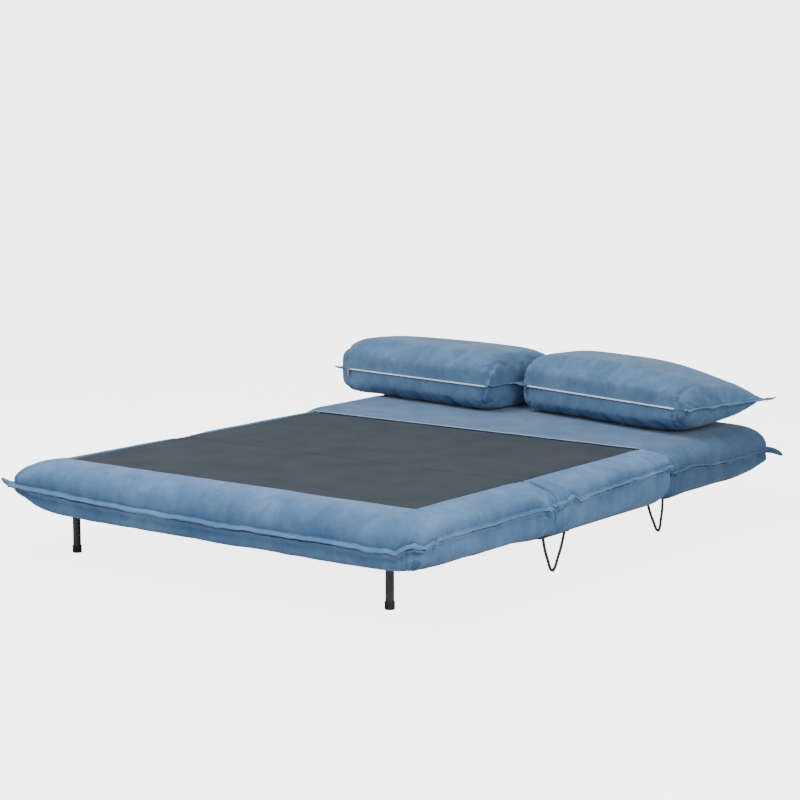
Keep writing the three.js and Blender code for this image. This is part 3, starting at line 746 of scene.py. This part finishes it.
def waves(pattern, size, s, v, seed):
    """Noise or ridges of one size over the lengths s and v."""
    height, along, across = size
    return height * pattern(s / along, v / across, seed)


def from_front_corner(x, y):
    """Distance from the foot end's right corner."""
    return np.hypot(x - HALF_WIDTH, y - FOOT_END)


def wrinkle(section, points, outline, seam, seed):
    """Adds billows, puckers along the sewn edge and gathers at the folds."""
    s = arc_length(outline)
    profile = np.linalg.norm(np.diff(points, axis=0), axis=-1)
    v = np.concatenate([np.zeros((1, points.shape[1])), np.cumsum(profile, 0)])
    near = nearest_fold(section, outline)
    z = points[..., 2]
    from_seam = np.abs(z - seam[None, :])
    side = smooth(UNDERSIDE + 1, UNDERSIDE + 12, z) * smooth(1, 20, near)
    top_edge = 1 - smooth(TOP - 9, TOP - 2, z)
    corner = bell(from_front_corner(np.abs(outline[:, 0]), outline[:, 1]), 0, CORNER_REACH)[None, :]
    amount = waves(noise, BROAD_BILLOW, s, v, seed) + waves(noise, SMALL_BILLOW, s, v, seed + 1)
    amount += waves(ridges, PUCKER, s, v, seed + 2) * bell(from_seam, 0, PUCKER_REACH)
    gather = near_folds(section, "gather", outline, GATHER_REACH) + CORNER_GATHER * corner
    amount += waves(ridges, GATHER, s, v, seed + 3) * gather * (0.2 + 0.8 * top_edge)
    amount *= side * (0.35 + 0.65 * top_edge)
    points = points + ring_normals(points) * amount[..., None]
    cap = TOP - UNEVEN_TOP[0] + waves(noise, UNEVEN_TOP, s, v, seed + 4)
    points[..., 2] = np.minimum(points[..., 2], cap)
    return points


def keep_under_panel(points):
    """Holds the cover down where the dark panel lies on it."""
    across = smooth(PANEL_HALF - 1, PANEL_HALF - 7, np.abs(points[..., 0]))
    along = smooth(PANEL_FRONT + 1, PANEL_FRONT + 7, points[..., 1])
    along = along * smooth(PANEL_BACK - 1, PANEL_BACK - 7, points[..., 1])
    cap = PANEL_BED + 1 + (TOP - PANEL_BED) * (1 - across * along)
    points[..., 2] = np.minimum(points[..., 2], cap)
    return points


# The sewn edge's wander and its bump by the near front corner, in waves along the edge only
LONG_WANDER = (2.4, 55, 1)
SHORT_WANDER = (1.2, 21, 1)
CORNER_BUMP = (6, 15, 1)


def wave_lip(section, points, outline, seam, seed):
    """Lets the flange wander up and down a little, as a soft sewn edge does."""
    s = arc_length(outline)
    close = bell(points[..., 2] - seam[None, :], 2, 22) * smooth(0, 30, nearest_fold(section, outline))
    at_corner = bell(from_front_corner(*outline.T), 30, 60)[None, :]
    wander = waves(noise, LONG_WANDER, s, 0 * s, seed) + waves(noise, SHORT_WANDER, s, 0 * s, seed + 1)
    points[..., 2] += close * wander
    points[..., 2] += close * at_corner * waves(noise, CORNER_BUMP, s, 0 * s, seed + 2)
    return points


def slit_faces(start):
    """Closes the narrow ring of points from start: quads across it, and a face at each end."""
    right = start + WIDE_POINTS
    back = right + END_POINTS + 2 * CORNER_POINTS
    left = back + WIDE_POINTS
    end = left + END_POINTS + 2 * CORNER_POINTS
    across = [(start + i, start + i + 1, left - 2 - i, left - 1 - i) for i in range(WIDE_POINTS - 1)]
    return across + [tuple(range(right - 1, back + 1)), tuple(range(left - 1, end)) + (start,)]


def add_cover(name, pockets, seed, material=VELVET):
    section = SECTIONS[name]
    points, outline, seam = section_grid(section)
    points = shape_corners(section, points, seam)
    points = shape_folds(section, points, outline)
    points = wave_lip(section, points, outline, seam, seed + 10)
    points = wrinkle(section, points, outline, seam, seed)
    if section["panel"]:
        points = keep_under_panel(points)
    rows, cols = points.shape[:2]
    faces = grid_faces(rows, cols, True).tolist() + slit_faces(0) + slit_faces((rows - 1) * cols)
    obj = make_object(name + "_cushion", points, faces, material)
    turn_outwards(obj)
    carve(obj, pockets)
    return obj


# ---- Tails of flange cloth that stand out at the free corners ----


def tail_mesh(root, away, length, lift, half_width, half_thick):
    """Points and faces of a flattened tube that tapers to a round tip and curls by lift."""
    t = np.linspace(0, 1, 18)
    turn = np.linspace(0, 2 * math.pi, 15)[:-1]
    taper = (1 - 0.25 * t) * np.sqrt(np.maximum(1 - t**6, 0.02))
    across = np.array([-away[1], away[0], 0])
    rows = []
    for share, size in zip(t, taper):
        slope = math.atan2(2.4 * lift * share**1.4, length)
        up = np.array([-away[0] * math.sin(slope), -away[1] * math.sin(slope), math.cos(slope)])
        centre = np.array(root) + (away[0] * length * share, away[1] * length * share, lift * share**2.4)
        wide = np.outer(np.cos(turn), across * half_width * size)
        thick = np.outer(np.sin(turn), up * half_thick * size)
        rows.append(centre + (wide + thick))
    return np.array(rows), tube_faces(len(t), len(turn))


TAIL_ROOT = 8
# Name, body, corner (side, end), height of the sewn edge there, length, lift, half width and half
# thickness
TAILS = (
    ("foot_tail_left", "foot_section", -1, FOOT_END, FRONT_SEAM[0][1], 40, 20, 15, 9),
    ("head_tail_left", "backrest", -1, HEAD_END, BACK_SEAM[0][1], 38, 12, 11, 8),
    ("head_tail_right", "backrest", 1, HEAD_END, BACK_SEAM[-1][1], 60, -20, 10, 10.5),
)


def add_tails():
    for name, body, side, end, seam, *sizes in TAILS:
        away = np.array([side, math.copysign(1, end)]) / math.sqrt(2)
        root = np.array([side * HALF_WIDTH, end]) - away * (CORNER_TIP + TAIL_ROOT)
        points, faces = tail_mesh((*root, seam), away, *sizes)
        # Tails at the head take the darker velvet with painted shade
        tail = make_object(name, points, faces, VELVET if body == "foot_section" else HEAD_VELVET_PAINTED_SHADE)
        turn_outwards(tail)
        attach(tail, body)


# ---- Pockets where the hardware passes through the covers ----

LEG_GAP = 8
LINK_GAP = 1
BOLT_GAP = 1.5
# How far the pockets reach
LEG_POCKET_TOP = 150
LEG_POCKET_LENGTH = 120
LINK_REACH = 15
BOLT_REACH = 24
PAST_FOLD = 5


def node_spans(node, gap):
    """A CAD node's box in the bed's frame, grown by gap on every side."""
    return [(low - gap, high + gap) for low, high in (span(node, axis) for axis in range(3))]


def mirrored(spans):
    (x0, x1), y, z = spans
    return [spans, ((-x1, -x0), y, z)]


def leg_pockets():
    """The post legs fold up into these from below."""
    (x0, x1), (y0, y1), _ = node_spans("post_leg_right", LEG_GAP)
    y = (y0 - 1, y1 + LEG_POCKET_LENGTH)
    return mirrored(((x0, x1), y, (UNDERSIDE - 5, LEG_POCKET_TOP)))


def link_pockets(fold_side):
    (_, x1), (y0, y1), _ = node_spans("fold_link_right", LINK_GAP)
    leaf_x0 = node_spans("middle_hinge_leaf_right", LINK_GAP)[0][1] - 8
    front, back = (y0 - LINK_REACH, FOOT_FOLD + PAST_FOLD), (FOOT_FOLD - PAST_FOLD, y1 + LINK_REACH)
    y = front if fold_side < 0 else back
    return mirrored(((leaf_x0, x1 + 2), y, (UNDERSIDE + 6, PANEL_BED + 5)))


def ratchet_pockets(towards_head):
    x, _, _ = node_spans("pivot_bolt_right", BOLT_GAP)
    near, far = (-PAST_FOLD, BOLT_REACH) if towards_head else (-BOLT_REACH, PAST_FOLD)
    y = (HEAD_FOLD + near, HEAD_FOLD + far)
    return mirrored((x, y, (UNDERSIDE + 7, TOP - 3)))


FOOT_PADS = add_cover("foot", leg_pockets() + link_pockets(-1), 11)
MIDDLE_PADS = add_cover("middle", link_pockets(1) + ratchet_pockets(False), 47)
# The head cushion takes the darker velvet with painted shade
HEAD_PADS = add_cover("head", ratchet_pockets(True), 83, HEAD_VELVET_PAINTED_SHADE)
COVERS = (
    (FOOT_PADS, "foot_section", ("foot_cover", "foot_upper_foam", "foot_lower_foam")),
    (MIDDLE_PADS, "middle_section", ("middle_cover", "middle_foam")),
    (HEAD_PADS, "backrest", ("head_cover", "head_foam")),
)
for pad, body, nodes in COVERS:
    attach(pad, body)
    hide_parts(*nodes)
add_tails()


# ---- The dark panel, one sheet on each side of the foot fold ----

PANEL_CELL = 12
SHEET_THICKNESS = 1.2
# The sheet's shallow waves, as (height, length across, length along), in millimetres
SHEET_WAVE = (0.5, 190, 160)
SHEET_RIPPLE = (0.3, 60, 70)
EDGE_SINK = 2.4
FOLD_SINK = 0.4


def add_panel(name, y0, y1, fold_at_end):
    x = np.linspace(-PANEL_HALF + 1, PANEL_HALF - 1, int(2 * PANEL_HALF / PANEL_CELL))
    y = np.linspace(y0, y1, int((y1 - y0) / PANEL_CELL) + 12)
    grid_x, grid_y = np.meshgrid(x, y)
    from_end = grid_y - y0 if fold_at_end else y1 - grid_y
    edge = np.minimum(PANEL_HALF - 1 - np.abs(grid_x), from_end)
    z = PANEL_Z + waves(noise, SHEET_WAVE, grid_x, grid_y, 21)
    z = z + waves(noise, SHEET_RIPPLE, grid_x, grid_y, 22)
    z -= EDGE_SINK * bell(edge, 0, 7) + FOLD_SINK * bell(grid_y, FOOT_FOLD, 5)
    points = np.stack([grid_x, grid_y, z], -1)
    obj = make_object(name, points, grid_faces(*points.shape[:2], False), FELT)
    thick = obj.modifiers.new("thickness", "SOLIDIFY")
    thick.thickness = SHEET_THICKNESS * MM
    thick.offset = -1
    apply_modifiers(obj)
    return obj


WELT_RADIUS = 1.6
# How far the welt lies behind the sheet's edge and below the top, and its waves in Y and Z along X
WELT_BACK = 2.2
WELT_DROP = 0.6
WELT_SWAY = (0.6, 70, 1)
WELT_RISE = (0.4, 40, 1)


def add_welt():
    """The raised sewn edge between the dark panel and the head fold, pale as a painted highlight of the
    cover's edge catching light.
    """
    x = np.linspace(-PANEL_HALF, PANEL_HALF, 160)[:, None]
    turn = np.linspace(0, 2 * math.pi, 9)[:-1]
    y = PANEL_BACK + WELT_BACK + WELT_RADIUS * np.cos(turn) + waves(noise, WELT_SWAY, x, 0 * x, 71)
    z = TOP - WELT_DROP + WELT_RADIUS * np.sin(turn) + waves(noise, WELT_RISE, x, 0 * x, 72)
    points = np.stack([x + 0 * turn, y, z], -1)
    welt = make_object("panel_welt_painted_highlight", points, tube_faces(len(x), len(turn)), WELT_PAINTED_HIGHLIGHT)
    turn_outwards(welt)
    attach(welt, "middle_section")


add_welt()


FOOT_SHEET = add_panel("foot_panel_sheet", PANEL_FRONT + 1, FOOT_FOLD, True)
MIDDLE_SHEET = add_panel("middle_panel_sheet", FOOT_FOLD, PANEL_BACK, False)
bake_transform(FOOT_SHEET)
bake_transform(MIDDLE_SHEET)
for sheet, node, cushion, (y0, y1) in (
    (FOOT_SHEET, "foot_panel", FOOT_PADS, (PANEL_FRONT, FOOT_FOLD)),
    (MIDDLE_SHEET, "middle_panel", MIDDLE_PADS, (FOOT_FOLD, PANEL_BACK)),
):
    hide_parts(node)

# ---- Pillows, each in its own frame: origin on the seam's level under its crown, X along the zip ----

PILLOW_START = 89
PILLOW_SEAT = 84
# How sharply the underside flattens at the seat's height
SEAT_POWER = 8.0
PILLOW_CELL = 8
# The zip holds cloth beyond this share of the half depth, and no cloth moves further than this
ZIP_SIDE = 0.985
MOST_TRAVEL = 14
PILLOWS = {
    "left": {
        "yaw": -7.5,
        "half": (335, 182),
        "zip": (-300, 315),
        "fullness": (8.0, 6.0, 5.0, 2.6),
        "slump": (0.16, -0.5, 0.7),
        "seed": 5,
    },
    "right": {
        "yaw": -13.5,
        "half": (352, 182),
        "zip": (-335, 300),
        "fullness": (9.0, 2.4, 5.0, 2.2),
        "slump": (0.5, 0.6, 0.6),
        "seed": 9,
    },
}


def eased(count):
    """From -1 to 1, closer together towards both ends."""
    return np.sin(np.linspace(-math.pi / 2, math.pi / 2, count))


def swell(t, power):
    """Height of a full pillow across its half width, from 1 in the middle to 0 at the seam."""
    return np.maximum(1 - np.abs(t) ** power, 0) ** (1 / power)


# How far the outline draws in, as shares of the half sizes
SIDE_DRAW = 0.035
BACK_DRAW = 0.05
CORNER_DRAW = 0.02


def pillow_outline(u, v, half):
    """Plan at the seam: drawn in between the corners, but straight on the zip side."""
    half_x, half_y = half
    corner = 1 - CORNER_DRAW * np.abs(u * v) ** 7
    x = half_x * u * (1 - SIDE_DRAW * (1 - np.abs(v) ** 2)) * corner
    pull = np.where(v > 0, BACK_DRAW, 0.0) * (1 - u**4)
    y = half_y * v * (1 - pull) * corner
    return x, y


def pillow_mesh(half, fullness, slump):
    """(points, faces, seam loop) of a top and a bottom sheet that share their seam."""
    nu, nv = int(2 * half[0] / PILLOW_CELL), int(2 * half[1] / PILLOW_CELL) + 8
    u, v = np.meshgrid(eased(nu), eased(nv))
    x, y = pillow_outline(u, v, half)
    height = swell(u, np.where(u < 0, *fullness[:2])) * swell(v, np.where(v < 0, *fullness[2:]))
    amount, along_zip, away_from_zip = slump
    height *= 1 - amount * smooth(0.1, 1.2, along_zip * u + away_from_zip * v)
    top = np.stack([x, y, PILLOW_START * height], -1).reshape(-1, 3)
    index = np.arange(nu * nv).reshape(nv, nu)
    rim = np.zeros((nv, nu), bool)
    rim[0] = rim[-1] = rim[:, 0] = rim[:, -1] = True
    below = np.where(rim, index, 0)
    below[~rim] = nu * nv + np.arange((~rim).sum())
    bottom = np.stack([x, y, -PILLOW_START * height], -1)[~rim]
    quads = grid_faces(nv, nu, False)
    faces = np.concatenate([quads, below.ravel()[quads[:, (0, 3, 2, 1)]]])
    loop = np.concatenate([index[0, :-1], index[:-1, -1], index[-1, :0:-1], index[:0:-1, 0]])
    return np.concatenate([top, bottom]), faces, loop


INFLATE_FRAMES = 18


def inflate(obj, pinned, stiff):
    """Blows the cloth up with its seam held, so that it puckers along the seam."""
    group = obj.vertex_groups.new(name="seam")
    group.add([int(i) for i in pinned], 1.0, "REPLACE")
    group.add([int(i) for i in stiff], 0.8, "REPLACE")
    cloth = obj.modifiers.new("inflate", "CLOTH")
    settings = cloth.settings
    settings.quality = 5
    settings.mass = 0.3
    settings.tension_stiffness = 12
    settings.compression_stiffness = 12
    settings.shear_stiffness = 6
    settings.bending_stiffness = 0.4
    settings.vertex_group_mass = "seam"
    settings.shrink_min = -0.04
    settings.use_pressure = True
    settings.uniform_pressure_force = 4
    settings.effector_weights.gravity = 0
    cloth.point_cache.frame_start = 1
    cloth.point_cache.frame_end = INFLATE_FRAMES
    scene = bpy.context.scene
    for number in range(1, INFLATE_FRAMES + 1):
        scene.frame_set(number)
    evaluated = obj.evaluated_get(bpy.context.evaluated_depsgraph_get())
    points = read_points(evaluated.data)
    obj.modifiers.clear()
    obj.vertex_groups.clear()
    scene.frame_set(1)
    return points / MM


def limit_travel(start, end, cap):
    """Moves start towards end, by no more than cap."""
    move = end - start
    length = np.linalg.norm(move, axis=1, keepdims=True)
    return start + move * np.minimum(1, cap / np.maximum(length, 1e-6))


def seat(points):
    """Flattens the underside where the pillow lies on the bed."""
    z = points[:, 2]
    below = np.maximum(-z, 1e-3)
    flat = -((below**-SEAT_POWER + PILLOW_SEAT**-SEAT_POWER) ** (-1 / SEAT_POWER))
    points[:, 2] = np.where(z < 0, flat, z)
    return points


# How far around the zip its tape holds the cloth
ZIP_FADE = 20
ZIP_HOLD = 13


def flatten_at_zip(points, spec):
    """Holds the cloth back beside the zip, whose tape keeps it flat."""
    zip_start, zip_end = spec["zip"]
    front = -spec["half"][1]
    x, y, z = points.T
    beside = smooth(zip_start - ZIP_FADE, zip_start, x) * smooth(zip_end + ZIP_FADE, zip_end, x)
    close = bell(z, 0, ZIP_HOLD) * beside * smooth(0.8 * front, 0.9 * front, y)
    points[:, 1] += (np.maximum(points[:, 1], front) - points[:, 1]) * close
    return points


# Creases at the zip's ends: (end, how far past it, slope, lowest, highest, depth, width)
CREASES = (
    (1, 8, -0.06, 6, 100, 13, 6),
    (1, -4, 0.22, -82, -8, 7, 6),
    (1, 22, 0.35, -82, -8, 6, 7),
    (0, -8, 0.1, 5, 90, 7, 7),
)
CREASE_FRONT = (-60, -130)
CREASE_FADE = 25


def crease(points, x, slope, low, high, depth, width):
    """Presses a crease that runs up the zip side at x, leaning by slope, between two heights."""
    front = smooth(*CREASE_FRONT, points[:, 1])
    off = points[:, 0] - x - slope * points[:, 2]
    reach = smooth(low, low + CREASE_FADE, points[:, 2]) * smooth(high, high - CREASE_FADE, points[:, 2])
    press = depth * bell(off, 0, width) * reach * front
    points[:, 1] += press
    points[:, 2] -= 0.3 * press * np.sign(points[:, 2])
    return points


def pillow_place(name):
    """Where a pillow's own frame lies in the bed's frame: (x, y, z, yaw)."""
    (x0, x1), (y0, y1), (z0, _) = (span("pillow_cover_" + name, axis) for axis in range(3))
    return (x0 + x1) / 2, (y0 + y1) / 2, z0 + PILLOW_SEAT, math.radians(PILLOWS[name]["yaw"])


def put_in_bed(points, name):
    x, y, z, yaw = pillow_place(name)
    turned = np.array(points, float)
    turned[..., 0] = x + points[..., 0] * math.cos(yaw) - points[..., 1] * math.sin(yaw)
    turned[..., 1] = y + points[..., 0] * math.sin(yaw) + points[..., 1] * math.cos(yaw)
    turned[..., 2] = z + points[..., 2]
    return turned


def set_points(obj, points_mm):
    world = np.asarray(points_mm) * MM + np.array(BED)
    obj.data.vertices.foreach_set("co", world.astype(np.float32).ravel())
    obj.data.update()


# The lip's section, (share of its width, height). A share below 0 is a place inside the seam.
FLANGE_SECTION = ((-3, -2.5), (0.6, -1.8), (1.0, -0.9), (1.0, 0.9), (0.6, 1.8), (-3, 2.5))


def flange_strip(loop, seed):
    """The pillow's sewn edge: a thin lip along the seam that curls at the corners."""
    ahead = np.roll(loop, -1, 0) - np.roll(loop, 1, 0)
    outward = np.stack([ahead[:, 1], -ahead[:, 0], 0 * ahead[:, 0]], 1)
    for _ in range(6):
        outward = (np.roll(outward, 1, 0) + outward + np.roll(outward, -1, 0)) / 3
    outward /= np.linalg.norm(outward, axis=1, keepdims=True)
    s = np.concatenate([[0], np.cumsum(np.linalg.norm(np.diff(loop, axis=0), axis=1))])
    front = smooth(-0.9, -0.98, outward[:, 1])
    corner = smooth(0.35, 0.5, np.abs(outward[:, 0] * outward[:, 1]))
    width = (12 + 16 * corner**2 + 2.5 * noise(s / 30, 0 * s, seed)) * (1 - front) + 1
    rise = 5 * noise(s / 38, 0 * s, seed + 1) + 8 * corner
    rows = []
    for across, lift in FLANGE_SECTION:
        reach = width * max(across, 0) if across > 0 else np.full_like(width, across)
        tip = max(across, 0) ** 2
        row = loop + outward * reach[:, None]
        row[:, 2] += lift * (1 - 0.4 * front) * (1 + corner) + rise * tip * (1 - front)
        rows.append(row)
    return np.array(rows)


def add_pillow(name):
    spec = PILLOWS[name]
    start, faces, loop = pillow_mesh(spec["half"], spec["fullness"], spec["slump"])
    obj = make_object("pillow_" + name, start, faces, PILLOW_VELVET)
    points = start
    zip_side = (start[:, 1] < -ZIP_SIDE * spec["half"][1]) & (np.abs(start[:, 2]) > 1)
    blown = inflate(obj, loop, np.flatnonzero(zip_side)) - np.array(BED) / MM
    points = limit_travel(start, blown, MOST_TRAVEL)
    points = flatten_at_zip(points, spec)
    points = seat(points)
    rows = flange_strip(points[loop], spec["seed"])
    set_points(obj, points)
    smoother = obj.modifiers.new("smoother", "SUBSURF")
    smoother.levels = 1
    apply_modifiers(obj)
    points = (read_points(obj.data) - np.array(BED)) / MM
    for end, past, *shape in CREASES:
        points = crease(points, spec["zip"][end] + past, *shape)
    set_points(obj, put_in_bed(points, name))
    strip_faces = grid_faces(*rows.shape[:2], True)
    strip = make_object("pillow_flange_" + name, put_in_bed(rows, name), strip_faces, PILLOW_VELVET)
    for piece in (obj, strip):
        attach(piece, "pillow_" + name)
    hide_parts("pillow_cover_" + name, "pillow_fill_" + name)


# Depth and height of the zip's tape and teeth, and how far they stand out
TAPE_DEPTH, TAPE_HEIGHT, TAPE_OUT = 3.0, 3.6, 0.6
TOOTH_DEPTH, TOOTH_HEIGHT, TOOTH_OUT = 1.8, 2.2, 2.2
TOOTH_PITCH = 5
TOOTH_WIDTH = TOOTH_PITCH * 0.62
# How far each row of teeth lies from the seam's level
ROW_OFFSET = 0.6


def add_zip(name):
    """Two rows of teeth that mesh on a raised tape, along the pillow's front edge."""
    spec = PILLOWS[name]
    front = -spec["half"][1]
    zip_start, zip_end = spec["zip"]
    x = np.arange(zip_start + 2, zip_end - 2, TOOTH_PITCH)
    upper = np.stack([x, 0 * x + front - TOOTH_OUT, 0 * x + ROW_OFFSET], -1)
    lower = upper + (TOOTH_PITCH / 2, 0, -2 * ROW_OFFSET)
    centres = np.concatenate([[((zip_start + zip_end) / 2, front - TAPE_OUT, 0)], upper, lower])
    half_sizes = np.empty_like(centres)
    half_sizes[0] = (zip_end - zip_start) / 2, TAPE_DEPTH / 2, TAPE_HEIGHT / 2
    half_sizes[1:] = TOOTH_WIDTH / 2, TOOTH_DEPTH / 2, TOOTH_HEIGHT / 2
    points, faces = boxes(centres - half_sizes, centres + half_sizes)
    strip = make_object("zip_" + name, put_in_bed(points, name), faces, ZIP_TAPE)
    for polygon in strip.data.polygons:
        polygon.use_smooth = False
    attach(strip, "pillow_" + name)
    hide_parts("pillow_zip_" + name)


for pillow in PILLOWS:
    add_pillow(pillow)
    add_zip(pillow)

# ---- CAD nodes that stay: better finishes ----

FINISHES = {
    STEEL: ("frame", "bracket", "post_leg", "hairpin"),
    ZINC: ("leaf", "link", "pin", "ratchet", "bolt", "zip_slider"),
    RUBBER: ("cap",),
    PINE: ("slat",),
}


def finish_nodes():
    for name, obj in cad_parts.items():
        for material, words in FINISHES.items():
            if any(word in name for word in words):
                obj.data.materials.clear()
                obj.data.materials.append(material)
                break


finish_nodes()

# ---- Floor and light ----

ROOM_LIGHT = 0.55
ROOM_SEEN = 4.6
FLOOR_SEEN = 4.1


def brighter_when_seen(tree, strength, seen, unseen):
    """Gives a strength one value where the camera looks at it, and another for its light."""
    path = tree.nodes.new("ShaderNodeLightPath")
    node = tree.nodes.new("ShaderNodeMath")
    node.operation = "MULTIPLY_ADD"
    node.inputs[1].default_value = seen - unseen
    node.inputs[2].default_value = unseen
    tree.links.new(path.outputs["Is Camera Ray"], node.inputs[0])
    tree.links.new(node.outputs["Value"], strength)


def add_floor():
    bpy.ops.mesh.primitive_plane_add(size=40)
    floor = bpy.context.object
    floor.name = "floor"
    dark, light = (0.50, 0.50, 0.51), (0.54, 0.54, 0.55)
    material = plain_finish("pale_floor", dark, light, 0.8, 60.0, 0.0002, specular=0.1)
    shader = material.node_tree.nodes["Principled BSDF"]
    shader.inputs["Emission Color"].default_value = (1, 1, 1, 1)
    brighter_when_seen(material.node_tree, shader.inputs["Emission Strength"], FLOOR_SEEN, 0.0)
    floor.data.materials.append(material)


def add_softbox(name, place, aim, size, power):
    data = bpy.data.lights.new(name, "AREA")
    data.shape = "RECTANGLE"
    data.size, data.size_y = size
    data.energy = power
    light = bpy.data.objects.new(name, data)
    light.location = place
    light.rotation_euler = (Vector(aim) - Vector(place)).to_track_quat("-Z", "Y").to_euler()
    bpy.context.scene.collection.objects.link(light)


def add_studio():
    """A white room, brighter to the camera than to the bed, and two softboxes."""
    world = bpy.data.worlds.new("studio")
    bpy.context.scene.world = world
    world.use_nodes = True
    tree = world.node_tree
    background = tree.nodes["Background"]
    background.inputs["Color"].default_value = (1, 1, 1, 1)
    brighter_when_seen(tree, background.inputs["Strength"], ROOM_SEEN, ROOM_LIGHT)
    add_softbox("key", (-0.9, -0.9, 3.4), (0, -0.2, 0.2), (2.6, 2.6), 160)
    add_softbox("fill", (4.0, -2.4, 2.6), (0, 0, 0.1), (2.5, 2), 150)


add_floor()
add_studio()
